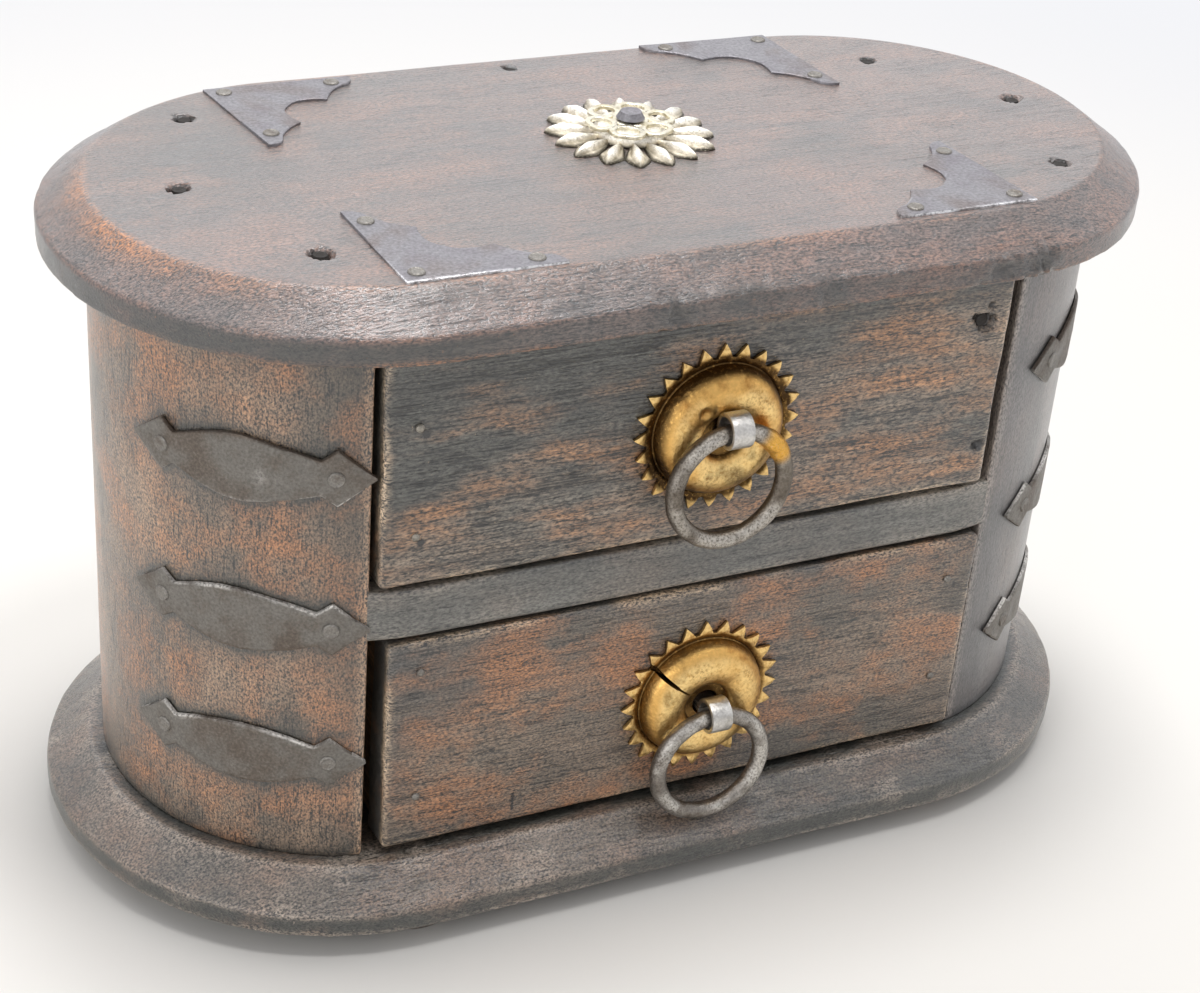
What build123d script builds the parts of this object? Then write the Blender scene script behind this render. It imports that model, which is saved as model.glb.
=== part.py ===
import os
from math import acos, asin, atan2, cos, degrees, pi, radians, sin, sqrt

from build123d import *

os.makedirs("parts", exist_ok=True)

# A small wooden chest with two drawers and half-round ends. X runs along its length, the
# drawers slide out along -Y, and Z = 0 is the surface that the feet stand on.

# Plan: two straight sides joined by half-round ends
straight_length = 126.0
carcass_radius = 54.0
top_overhang = 10.0
base_overhang = 13.0

# Heights of the carcass
foot_height = 6.0
base_thickness = 12.0
carcass_height = 124.9
top_thickness = 12.6
lower_bay_height = 55.8
divider_thickness = 12.0

# Bevels round the top and base boards
bevel_run = 10.0
bevel_drop = 6.6

# Carcass joinery
block_inset = 12.0
arris_radius = 1.0
dado_depth = 3.0
rebate_width = 6.0
back_thickness = 10.0

# Feet: low turned discs
foot_radius = 10.0
foot_rounding = 1.2
foot_edge_inset = 6.0

# Drawer boxes
front_proud = 0.5
front_thickness = 10.0
front_end_gap = 2.0
front_gap_below = 1.2
front_gap_above = 1.0
front_rounding = 1.2
side_thickness = 9.0
side_inset = 3.0
side_drop = 4.0
drawer_back_thickness = 7.0
bottom_thickness = 4.0
groove_depth = 3.0
groove_height = 4.0
groove_play = 0.1
run_clearance = 0.3
drawer_stop_gap = 0.8

# Each drawer sits a little to one side of its bay, and its nails are unevenly spaced
upper_shift_share = -0.5
lower_shift_share = 0.7
upper_nail_shares = {-1: (0.22, 0.68), 1: (0.20, 0.77)}
lower_nail_shares = {-1: (0.25, 0.86), 1: (0.29, 0.80)}
back_nail_shares = (0.3, 0.75)

# Nails: a tapered flat head on a round shank
nail_radius = 0.8
nail_head_radius = 1.9
nail_head_height = 0.8
nail_head_angle = 30.0
nail_length = 22.0
nail_sink = 0.5
nail_play = 0.05
tack_length = 7.0

# Places of the top nails about each end's centre: shares of the carcass radius, and degrees
# from the end's own axis towards the back
left_top_nail_shares = (0.82, 0.65, 0.73)
left_top_nail_angles = (58, 3, -63)
right_top_nail_shares = (0.71, 0.76, 0.85)
right_top_nail_angles = (59, 2, -50)
base_nail_shares = (0.7, 0.7, 0.7)
base_nail_angles = (58, 0, -58)
back_nail_offset_share = -0.08

# Escutcheon: a toothed sheet with a raised ring round a sunk centre
tooth_count = 24
tooth_tip_radius = 19.5
tooth_depth = 3.2
sheet_thickness = 0.8
dome_radius = 14.5
crest_radius = 9.0
crest_height = 5.6
recess_radius = 5.0
recess_height = 2.6
upper_pull_height_share = 0.485
lower_pull_height_share = 0.466
upper_pull_offset = 1.5
lower_pull_offset = 2.3

# Staple and ring of each pull
strip_width = 5.0
strip_thickness = 1.0
strip_slit = 0.2
leg_play = 0.4
clench_length = 9.0
wire_radius = 2.0
ring_radius = 13.0
upper_eye_rise = 3.6
lower_eye_rise = 0.0
ring_play = 1.0
ring_drop = 0.5
ring_standoff = 0.8

# Straps on the half-round ends: two barbed tips, two necks and a swollen middle
strap_span = 51.4
strap_thickness = 1.0
strap_belly = 15.4
strap_neck = 7.6
strap_barb = 12.5
strap_neck_share = 0.61
strap_barb_share = 0.73
strap_nail_share = 0.72
strap_belly_rounding = 7.0
seat_gap = 0.05

# Straps from top to bottom on each end: gap from the block's front arris to the strap's tip,
# shares of the carcass height, and degrees by which the front tips dip
left_strap_tip_gap = 0.9
right_strap_tip_gap = 9.8
left_strap_height_shares = (0.765, 0.477, 0.207)
right_strap_height_shares = (0.753, 0.444, 0.184)
left_strap_dip_angles = (6, 2.2, 1.1)
right_strap_dip_angles = (2, 1.5, 1)

# Corner plates on the top
plate_arm = 34.0
plate_thickness = 0.9
plate_edge_inset = 0.4
plate_tip_share = (0.93, 0.125)
plate_tip_round_share = (0.985, 0.075)
plate_scoop_share = (0.80, 0.205)
plate_cusp_share = (0.69, 0.35)
plate_bay_share = 0.40
plate_nail_shares = ((0.10, 0.10), (0.84, 0.09), (0.09, 0.83))

# Corner plates: shares of the straight half-length along X, and how far the short arm leans
# along the board, as shares of its own length
plate_x_shares = {"front_left": -1.11, "front_right": 1.19, "rear_left": -1.24, "rear_right": 1.03}
plate_lean_shares = {"front_left": -0.035, "front_right": 0.105, "rear_left": 0.123, "rear_right": -0.07}

# Rosette: sixteen half-spindle petals round a hub, a pierced flower over them, and a nail
rosette_x = 4.5
rosette_y = 4.0
petal_count = 16
petal_half_length = 7.0
petal_half_width = 2.7
petal_centre_radius = 13.0
hub_radius = 7.5
hub_height = 2.9
flower_count = 6
flower_reach = 7.2
flower_loop_radius = 3.7
flower_hole_radius = 2.0
flower_hub_radius = 4.6
flower_thickness = 1.2
rosette_nail_head_radius = 3.2
rosette_nail_head_height = 1.5
rosette_nail_radius = 1.2
rosette_nail_length = 12.0

overrun = 1.0

# Levels and faces worked out from the sizes above
end_x = straight_length / 2
base_top = foot_height + base_thickness
divider_bottom = base_top + lower_bay_height
divider_top = divider_bottom + divider_thickness
carcass_top = base_top + carcass_height
top_surface = carcass_top + top_thickness
upper_bay_height = carcass_top - divider_top
bay_x = end_x + block_inset
top_radius = carcass_radius + top_overhang
base_radius = carcass_radius + base_overhang
back_inner_y = carcass_radius - back_thickness
front_y = -(carcass_radius + front_proud)
front_inner_y = front_y + front_thickness
drawer_end_y = back_inner_y - drawer_stop_gap
front_width = 2 * (bay_x - front_end_gap)
top_flat_radius = top_radius - bevel_run
head_sink = nail_sink + nail_head_height
bore_radius = nail_radius + nail_play
head_bore_radius = nail_head_radius + nail_play
eye_inner_radius = wire_radius + ring_play
eye_outer_radius = eye_inner_radius + strip_thickness
eye_reach = crest_height + ring_standoff + wire_radius
leg_half_height = strip_thickness + strip_slit / 2
leg_hole_radius = sqrt((strip_width / 2) ** 2 + leg_half_height**2) + leg_play


def finish(part, label):
    """Name a finished piece and write it out."""
    part.label = label
    export_step(part, f"parts/{label}.step")


def facing_front(x, y, z):
    """Plane with its normal along -Y and its own Y upright."""
    return Plane(origin=(x, y, z), x_dir=(1, 0, 0), z_dir=(0, -1, 0))


def facing_up(x, y, z):
    return Plane(origin=(x, y, z), x_dir=(1, 0, 0), z_dir=(0, 0, 1))


def facing_down(x, y, z):
    return Plane(origin=(x, y, z), x_dir=(1, 0, 0), z_dir=(0, 0, -1))


def facing_side(side, x, y, z):
    """Plane with its normal along +X or -X and its own Y upright."""
    return Plane(origin=(x, y, z), x_dir=(0, side, 0), z_dir=(side, 0, 0))


def on_end(side, angle, radius, z):
    """Plane that touches a half-round end, turned from the end's axis towards the front."""
    outward = Vector(side * cos(radians(angle)), -sin(radians(angle)), 0)
    origin = Vector(side * end_x, 0, z) + outward * radius
    return Plane(origin=origin, x_dir=(-outward.Y, outward.X, 0), z_dir=outward)


def bores(seats, length):
    """Shank holes below a list of nail seats."""
    return [Solid.make_cylinder(bore_radius, length, seat.offset(-length)) for seat in seats]


def head_bores(seats, height):
    """Holes that let sunk nail heads down to their seats."""
    return [Solid.make_cylinder(head_bore_radius, height, seat) for seat in seats]


def make_nails(label, seats, length):
    """One group of like nails, each standing on its own seat."""
    with BuildPart() as nails:
        for seat in seats:
            with BuildSketch(seat):
                Circle(nail_head_radius)
            extrude(amount=nail_head_height, taper=nail_head_angle)
            with BuildSketch(seat):
                Circle(nail_radius)
            extrude(amount=-length)
    finish(nails.part, label)


# Seats of the nails that hold the boards together
top_nail_z = top_surface - head_sink
base_nail_z = foot_height + head_sink
back_nail_x = back_nail_offset_share * end_x
back_nail_y = back_inner_y + back_thickness / 2


def end_nail_places(side, shares, angles):
    """Nail places about one end's centre."""
    places = []
    for share, angle in zip(shares, angles):
        reach = share * carcass_radius
        places.append((side * (end_x + reach * cos(radians(angle))), reach * sin(radians(angle))))
    return places


top_nail_places = end_nail_places(-1, left_top_nail_shares, left_top_nail_angles)
top_nail_places += end_nail_places(1, right_top_nail_shares, right_top_nail_angles)
top_nail_places.append((back_nail_x, back_nail_y))
top_nail_seats = [facing_up(x, y, top_nail_z) for x, y in top_nail_places]

base_nail_places = end_nail_places(-1, base_nail_shares, base_nail_angles)
base_nail_places += end_nail_places(1, base_nail_shares, base_nail_angles)
base_nail_places.append((back_nail_x, back_nail_y))
base_nail_seats = [facing_down(x, y, base_nail_z) for x, y in base_nail_places]

# Seats of the strap nails, square to the rounded end
strap_inner_radius = carcass_radius + seat_gap
strap_outer_radius = strap_inner_radius + strap_thickness
strap_half = strap_span / 2
strap_half_angle = degrees(asin(strap_half / strap_outer_radius))
arris_angle = degrees(acos(block_inset / carcass_radius))
strap_sides = {}
strap_planes = {}
strap_seats = {}
for side, side_name, tip_gap, height_shares, dips in (
    (-1, "left", left_strap_tip_gap, left_strap_height_shares, left_strap_dip_angles),
    (1, "right", right_strap_tip_gap, right_strap_height_shares, right_strap_dip_angles),
):
    middle_angle = arris_angle - degrees(tip_gap / carcass_radius) - strap_half_angle
    for level, height_share, dip in zip(("upper", "middle", "lower"), height_shares, dips):
        label = f"{side_name}_{level}_strap"
        middle_z = base_top + height_share * carcass_height
        strap_plane = on_end(side, middle_angle, carcass_radius, middle_z).rotated((0, 0, side * dip))
        strap_sides[label] = side
        strap_planes[label] = strap_plane
        strap_seats[label] = []
        for end in (-1, 1):
            reach = end * strap_nail_share * strap_half
            sagitta = carcass_radius - sqrt(carcass_radius**2 - reach**2)
            spot = strap_plane.from_local_coords(Vector(reach, 0, -sagitta))
            turn = degrees(atan2(-spot.Y, side * (spot.X - side * end_x)))
            strap_seats[label].append(on_end(side, turn, strap_outer_radius, spot.Z))

# Seats of the corner plate nails, on the plates' upper faces
plate_top = top_surface + plate_thickness
plate_frames = {}
plate_seats = {}
for corner, x_share in plate_x_shares.items():
    corner_x = x_share * end_x
    past_end = max(abs(corner_x) - end_x, 0)
    edge_y = sqrt(top_flat_radius**2 - past_end**2) - plate_edge_inset
    x_inward = -1 if x_share > 0 else 1
    y_inward = 1 if corner.startswith("front") else -1
    lean = plate_lean_shares[corner]
    plate_frames[f"{corner}_corner_plate"] = (corner_x, -y_inward * edge_y, x_inward, y_inward, lean)


def plate_point(label, along_share, across_share):
    """A point of a corner plate, given along its long arm and across it."""
    corner_x, corner_y, x_sign, y_sign, lean = plate_frames[label]
    along = plate_arm * (along_share + across_share * lean)
    return (corner_x + x_sign * along, corner_y + y_sign * plate_arm * across_share)


for label in plate_frames:
    plate_spots = [plate_point(label, *shares) for shares in plate_nail_shares]
    plate_seats[label] = [facing_up(x, y, plate_top) for x, y in plate_spots]

# Rosette nail seat, on the flower
flower_z = top_surface + hub_height
rosette_seat = facing_up(rosette_x, rosette_y, flower_z + flower_thickness)
rosette_bore = Solid.make_cylinder(
    rosette_nail_radius + nail_play, rosette_nail_length, rosette_seat.offset(-rosette_nail_length)
)

# Base board
with BuildPart() as base_board:
    with BuildSketch(Plane.XY.offset(foot_height)):
        SlotCenterToCenter(straight_length, 2 * base_radius)
    extrude(amount=base_thickness)
    base_face = base_board.faces().sort_by(Axis.Z)[-1]
    chamfer(base_face.edges(), length=bevel_run, length2=bevel_drop, reference=base_face)
    add(bores(base_nail_seats, nail_length), mode=Mode.SUBTRACT)
    add(head_bores(base_nail_seats, head_sink + overrun), mode=Mode.SUBTRACT)
finish(base_board.part, "base_board")

# Top board
with BuildPart() as top_board:
    with BuildSketch(Plane.XY.offset(carcass_top)):
        SlotCenterToCenter(straight_length, 2 * top_radius)
    extrude(amount=top_thickness)
    top_face = top_board.faces().sort_by(Axis.Z)[-1]
    chamfer(top_face.edges(), length=bevel_run, length2=bevel_drop, reference=top_face)
    add(bores(top_nail_seats, nail_length), mode=Mode.SUBTRACT)
    add(head_bores(top_nail_seats, head_sink + overrun), mode=Mode.SUBTRACT)
    for label in plate_seats:
        add(bores(plate_seats[label], tack_length + nail_play), mode=Mode.SUBTRACT)
    add(rosette_bore, mode=Mode.SUBTRACT)
finish(top_board.part, "top_board")

# Half-round end blocks, with a rebate for the back panel and a groove for the divider
rebate_x = bay_x + rebate_width
groove_x = bay_x + dado_depth
for side, label in ((-1, "left_end_block"), (1, "right_end_block")):
    side_seats = []
    for strap_label, strap_side in strap_sides.items():
        if strap_side == side:
            side_seats += strap_seats[strap_label]
    with BuildPart() as end_block:
        with BuildSketch(Plane.XY.offset(base_top)):
            with Locations((side * end_x, 0)):
                Circle(carcass_radius)
            with Locations((side * (bay_x + carcass_radius), 0)):
                Rectangle(2 * carcass_radius, 2 * carcass_radius, mode=Mode.INTERSECT)
        extrude(amount=carcass_height)
        fillet(end_block.edges().filter_by(Axis.Z).sort_by(Axis.Y)[0], radius=arris_radius)
        with BuildSketch(Plane.XY.offset(base_top)):
            with Locations((side * bay_x, back_inner_y + back_thickness)):
                Rectangle(2 * rebate_width, 2 * back_thickness)
        extrude(amount=carcass_height, mode=Mode.SUBTRACT)
        with BuildSketch(Plane.XY.offset(divider_bottom)):
            with Locations((side * bay_x, 0)):
                Rectangle(2 * dado_depth, 2 * back_inner_y)
            with Locations((side * bay_x, -carcass_radius)):
                Rectangle(2 * dado_depth, 2 * back_thickness)
        extrude(amount=divider_thickness, mode=Mode.SUBTRACT)
        add(bores(side_seats, tack_length + nail_play), mode=Mode.SUBTRACT)
        add(bores(top_nail_seats, nail_length + nail_play), mode=Mode.SUBTRACT)
        add(bores(base_nail_seats, nail_length + nail_play), mode=Mode.SUBTRACT)
    finish(end_block.part, label)

# Back panel, its outer face following the plan's outline
with BuildPart() as back_panel:
    with BuildSketch(Plane.XY.offset(base_top)):
        SlotCenterToCenter(straight_length, 2 * carcass_radius)
        with Locations((0, back_inner_y + back_thickness)):
            Rectangle(2 * rebate_x, 2 * back_thickness, mode=Mode.INTERSECT)
    extrude(amount=carcass_height)
    add(bores(top_nail_seats, nail_length + nail_play), mode=Mode.SUBTRACT)
    add(bores(base_nail_seats, nail_length + nail_play), mode=Mode.SUBTRACT)
finish(back_panel.part, "back_panel")

# Divider between the drawers, its ends housed in the blocks
with BuildPart() as drawer_divider:
    with BuildSketch(Plane.XY.offset(divider_bottom)):
        SlotCenterToCenter(straight_length, 2 * carcass_radius)
        with Locations((0, (back_inner_y - carcass_radius) / 2)):
            Rectangle(2 * groove_x, back_inner_y + carcass_radius, mode=Mode.INTERSECT)
    extrude(amount=divider_thickness)
finish(drawer_divider.part, "drawer_divider")

# Feet
foot_y = base_radius - foot_edge_inset - foot_radius
for y_side, depth_name in ((-1, "front"), (1, "rear")):
    for x_side, side_name in ((-1, "left"), (1, "right")):
        with BuildPart() as foot:
            with BuildSketch(Plane.XY):
                with Locations((x_side * end_x, y_side * foot_y)):
                    Circle(foot_radius)
            extrude(amount=foot_height)
            fillet(foot.edges().filter_by(GeomType.CIRCLE).sort_by(Axis.Z)[0], radius=foot_rounding)
        finish(foot.part, f"{depth_name}_{side_name}_foot")

make_nails("top_nails", top_nail_seats, nail_length)
make_nails("base_nails", base_nail_seats, nail_length)

# Straps: the flat outline pushed through a thin sleeve that fits the end
for label, side in strap_sides.items():
    with BuildPart() as strap:
        with BuildSketch(strap_planes[label]) as strap_outline:
            with BuildLine():
                Polyline(
                    (-strap_half, 0),
                    (-strap_barb_share * strap_half, strap_barb / 2),
                    (-strap_neck_share * strap_half, strap_neck / 2),
                    (0, strap_belly / 2),
                    (strap_neck_share * strap_half, strap_neck / 2),
                    (strap_barb_share * strap_half, strap_barb / 2),
                    (strap_half, 0),
                )
                mirror(about=Plane.XZ)
            make_face()
            belly_corners = strap_outline.vertices().sort_by_distance((0, 0))[:2]
            fillet(belly_corners, radius=strap_belly_rounding)
        extrude(amount=strap_half, both=True)
        with BuildSketch(Plane.XY.offset(base_top)):
            with Locations((side * end_x, 0)):
                Circle(strap_outer_radius)
                Circle(strap_inner_radius, mode=Mode.SUBTRACT)
        extrude(amount=carcass_height, mode=Mode.INTERSECT)
        add(bores(strap_seats[label], tack_length), mode=Mode.SUBTRACT)
    finish(strap.part, label)

all_strap_seats = [seat for seats in strap_seats.values() for seat in seats]
make_nails("strap_nails", all_strap_seats, tack_length)

# Corner plates: two arms with rounded tips, a scoop on each and a bay between two cusps
for label in plate_frames:
    tip = plate_tip_share
    tip_round = plate_tip_round_share
    scoop = plate_scoop_share
    cusp = plate_cusp_share
    with BuildPart() as corner_plate:
        with BuildSketch(Plane.XY.offset(top_surface)):
            with BuildLine():
                Line(plate_point(label, 0, 1), plate_point(label, 0, 0))
                Line(plate_point(label, 0, 0), plate_point(label, 1, 0))
                ThreePointArc(
                    plate_point(label, 1, 0),
                    plate_point(label, *tip_round),
                    plate_point(label, *tip),
                )
                ThreePointArc(plate_point(label, *tip), plate_point(label, *scoop), plate_point(label, *cusp))
                ThreePointArc(
                    plate_point(label, *cusp),
                    plate_point(label, plate_bay_share, plate_bay_share),
                    plate_point(label, *reversed(cusp)),
                )
                ThreePointArc(
                    plate_point(label, *reversed(cusp)),
                    plate_point(label, *reversed(scoop)),
                    plate_point(label, *reversed(tip)),
                )
                ThreePointArc(
                    plate_point(label, *reversed(tip)),
                    plate_point(label, *reversed(tip_round)),
                    plate_point(label, 0, 1),
                )
            make_face()
        extrude(amount=plate_thickness)
        add(bores(plate_seats[label], tack_length), mode=Mode.SUBTRACT)
    finish(corner_plate.part, label)

all_plate_seats = [seat for seats in plate_seats.values() for seat in seats]
make_nails("corner_plate_nails", all_plate_seats, tack_length)

# Rosette petals round their hub
with BuildPart() as rosette_petals:
    with BuildSketch(facing_up(rosette_x, rosette_y, top_surface)):
        Circle(hub_radius)
    extrude(amount=hub_height)
    for petal in range(petal_count):
        turn = 2 * pi * petal / petal_count
        along = Vector(cos(turn), sin(turn), 0)
        petal_middle = Vector(rosette_x, rosette_y, top_surface) + along * petal_centre_radius
        petal_plane = Plane(origin=petal_middle, x_dir=along, z_dir=(0, 0, 1))
        with BuildSketch(petal_plane):
            Ellipse(petal_half_length, petal_half_width)
            with Locations((0, -petal_half_width)):
                Rectangle(2 * petal_half_length, 2 * petal_half_width, mode=Mode.SUBTRACT)
        revolve(axis=Axis(petal_middle, along), revolution_arc=180)
    add(rosette_bore, mode=Mode.SUBTRACT)
finish(rosette_petals.part, "rosette_petals")

# Pierced flower over the petals
with BuildPart() as rosette_flower:
    with BuildSketch(facing_up(rosette_x, rosette_y, flower_z)):
        Circle(flower_hub_radius)
        with PolarLocations(flower_reach, flower_count):
            Circle(flower_loop_radius)
        with PolarLocations(flower_reach, flower_count):
            Circle(flower_hole_radius, mode=Mode.SUBTRACT)
    extrude(amount=flower_thickness)
    add(rosette_bore, mode=Mode.SUBTRACT)
finish(rosette_flower.part, "rosette_flower")

with BuildPart() as rosette_nail:
    with BuildSketch(rosette_seat):
        Circle(rosette_nail_head_radius)
    extrude(amount=rosette_nail_head_height, taper=nail_head_angle)
    with BuildSketch(rosette_seat):
        Circle(rosette_nail_radius)
    extrude(amount=-(rosette_nail_length - nail_play))
finish(rosette_nail.part, "rosette_nail")


def make_drawer(name, floor, bay_height, shift_share, nail_shares):
    """One drawer box: front, sides, back, bottom panel and nails."""
    shift = shift_share * front_end_gap
    front_bottom = floor + front_gap_below
    front_height = bay_height - front_gap_below - front_gap_above
    side_bottom = floor + run_clearance
    side_top = front_bottom + front_height - side_drop
    side_x = front_width / 2 - side_inset - side_thickness / 2
    inner_x = side_x - side_thickness / 2
    back_y = drawer_end_y - drawer_back_thickness / 2
    groove_z = front_bottom + groove_height
    back_bottom = groove_z + bottom_thickness
    front_seats = []
    back_seats = {-1: [], 1: []}
    for side in (-1, 1):
        for share in nail_shares[side]:
            nail_z = front_bottom + share * front_height
            front_seats.append(facing_front(shift + side * side_x, front_y + head_sink, nail_z))
        for share in back_nail_shares:
            nail_z = back_bottom + share * (side_top - back_bottom)
            seat_x = shift + side * (side_x + side_thickness / 2 - head_sink)
            back_seats[side].append(facing_side(side, seat_x, back_y, nail_z))

    with BuildPart() as front:
        with BuildSketch(facing_front(shift, front_y, front_bottom + front_height / 2)):
            Rectangle(front_width, front_height)
        extrude(amount=-front_thickness)
        fillet(front.faces().sort_by(Axis.Y)[0].edges(), radius=front_rounding)
        with BuildSketch(Plane.XY.offset(groove_z)):
            with Locations((shift, front_inner_y)):
                Rectangle(2 * (inner_x + groove_depth), 2 * groove_depth)
        extrude(amount=bottom_thickness, mode=Mode.SUBTRACT)
        with BuildSketch(pull_plane(name)):
            Circle(leg_hole_radius)
        extrude(amount=-front_thickness, mode=Mode.SUBTRACT)
        add(bores(front_seats, nail_length), mode=Mode.SUBTRACT)
        add(head_bores(front_seats, head_sink + overrun), mode=Mode.SUBTRACT)
    finish(front.part, f"{name}_drawer_front")

    for side, side_name in ((-1, "left"), (1, "right")):
        with BuildPart() as drawer_side:
            with BuildSketch(Plane.XY.offset(side_bottom)):
                with Locations((shift + side * side_x, (front_inner_y + drawer_end_y) / 2)):
                    Rectangle(side_thickness, drawer_end_y - front_inner_y)
            extrude(amount=side_top - side_bottom)
            with BuildSketch(Plane.XY.offset(groove_z)):
                with Locations((shift + side * inner_x, (front_inner_y + drawer_end_y) / 2)):
                    Rectangle(2 * groove_depth, drawer_end_y - front_inner_y)
            extrude(amount=bottom_thickness, mode=Mode.SUBTRACT)
            add(bores(front_seats, nail_length + nail_play), mode=Mode.SUBTRACT)
            add(bores(back_seats[side], nail_length), mode=Mode.SUBTRACT)
            add(head_bores(back_seats[side], head_sink + overrun), mode=Mode.SUBTRACT)
        finish(drawer_side.part, f"{name}_drawer_{side_name}_side")

    with BuildPart() as bottom:
        panel_front_y = front_inner_y - groove_depth + groove_play
        with BuildSketch(Plane.XY.offset(groove_z)):
            with Locations((shift, (panel_front_y + drawer_end_y) / 2)):
                Rectangle(2 * (inner_x + groove_depth - groove_play), drawer_end_y - panel_front_y)
        extrude(amount=bottom_thickness - groove_play)
    finish(bottom.part, f"{name}_drawer_bottom")

    with BuildPart() as back:
        with BuildSketch(Plane.XY.offset(back_bottom)):
            with Locations((shift, back_y)):
                Rectangle(2 * inner_x, drawer_back_thickness)
        extrude(amount=side_top - back_bottom)
        for side in (-1, 1):
            add(bores(back_seats[side], nail_length + nail_play), mode=Mode.SUBTRACT)
    finish(back.part, f"{name}_drawer_back")

    make_nails(f"{name}_drawer_nails", front_seats + back_seats[-1] + back_seats[1], nail_length)


# Where each pull's axis meets its drawer front
pull_origins = {}
for name, floor, bay_height, shift_share, offset, height_share in (
    ("upper", divider_top, upper_bay_height, upper_shift_share, upper_pull_offset, upper_pull_height_share),
    ("lower", base_top, lower_bay_height, lower_shift_share, lower_pull_offset, lower_pull_height_share),
):
    front_height = bay_height - front_gap_below - front_gap_above
    pull_x = shift_share * front_end_gap + offset
    pull_origins[name] = (pull_x, front_y, floor + front_gap_below + height_share * front_height)


def pull_plane(name):
    return facing_front(*pull_origins[name])


def make_pull(name, eye_rise):
    """Escutcheon, staple and ring of one drawer."""
    origin = pull_origins[name]
    rim_radius = tooth_tip_radius - tooth_depth
    recess_top = recess_height + sheet_thickness
    tooth_points = []
    for step in range(2 * tooth_count):
        reach = tooth_tip_radius if step % 2 == 0 else rim_radius
        turn = pi * step / tooth_count
        tooth_points.append((reach * cos(turn), reach * sin(turn)))
    with BuildPart() as escutcheon:
        with BuildSketch(pull_plane(name)):
            Polygon(*tooth_points, align=None)
            Circle(dome_radius, mode=Mode.SUBTRACT)
        extrude(amount=sheet_thickness)
        with BuildSketch(Plane(origin=origin, x_dir=(1, 0, 0), z_dir=(0, 0, -1))):
            with BuildLine():
                Line((leg_hole_radius, recess_height), (leg_hole_radius, recess_top))
                Line((leg_hole_radius, recess_top), (recess_radius, recess_top))
                ThreePointArc(
                    (recess_radius, recess_top),
                    (crest_radius, crest_height),
                    (dome_radius, sheet_thickness),
                )
                Line((dome_radius, sheet_thickness), (dome_radius, 0))
                Line((dome_radius, 0), (dome_radius - sheet_thickness, 0))
                ThreePointArc(
                    (dome_radius - sheet_thickness, 0),
                    (crest_radius, crest_height - sheet_thickness),
                    (recess_radius + sheet_thickness, recess_height),
                )
                Line((recess_radius + sheet_thickness, recess_height), (leg_hole_radius, recess_height))
            make_face()
        revolve(axis=Axis(origin, (0, -1, 0)))
    finish(escutcheon.part, f"{name}_escutcheon")

    # The legs run straight through the front and bend at the recess towards the eye
    leg_length = front_thickness + strip_thickness + recess_top
    neck_run = eye_reach - recess_top
    neck_length = sqrt(neck_run**2 + eye_rise**2)
    neck_angle = degrees(atan2(eye_rise, neck_run))
    neck_middle = ((recess_top + eye_reach) / 2, eye_rise / 2)
    with BuildPart() as staple:
        with BuildSketch(Plane(origin=origin, x_dir=(0, -1, 0), z_dir=(-1, 0, 0))):
            with Locations((recess_top - leg_length / 2, 0)):
                Rectangle(leg_length, 2 * leg_half_height)
            with Locations((recess_top, 0)):
                Circle(leg_half_height)
            with Locations(neck_middle):
                Rectangle(neck_length, 2 * leg_half_height, rotation=neck_angle)
            with Locations((-front_thickness - strip_thickness / 2, 0)):
                Rectangle(strip_thickness, 2 * clench_length)
            with Locations((eye_reach, eye_rise)):
                Circle(eye_outer_radius)
                Circle(eye_inner_radius, mode=Mode.SUBTRACT)
            with Locations((recess_top - leg_length / 2, 0)):
                Rectangle(leg_length, strip_slit, mode=Mode.SUBTRACT)
            with Locations((recess_top, 0)):
                Circle(strip_slit / 2, mode=Mode.SUBTRACT)
            with Locations(neck_middle):
                Rectangle(neck_length, strip_slit, rotation=neck_angle, mode=Mode.SUBTRACT)
        extrude(amount=strip_width / 2, both=True)
    finish(staple.part, f"{name}_staple")

    ring_centre = Vector(*origin) + Vector(0, -eye_reach, eye_rise - ring_drop - ring_radius)
    with BuildPart(Plane(origin=ring_centre, x_dir=(1, 0, 0), z_dir=(0, -1, 0))) as ring:
        Torus(ring_radius, wire_radius)
    finish(ring.part, f"{name}_ring")


make_drawer("upper", divider_top, upper_bay_height, upper_shift_share, upper_nail_shares)
make_drawer("lower", base_top, lower_bay_height, lower_shift_share, lower_nail_shares)
make_pull("upper", upper_eye_rise)
make_pull("lower", lower_eye_rise)
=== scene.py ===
# %% [markdown]
# A small waxed-wood chest with two drawers. The CAD model gives every piece its size and place.
# This file dresses it: the boards get worn, uneven surfaces, and wood, iron and brass get finishes
# that show their age. Lengths are in millimetres until a mesh is written.

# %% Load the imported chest
import math

import bmesh
import bpy
import numpy as np
from mathutils import Matrix, Vector


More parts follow.
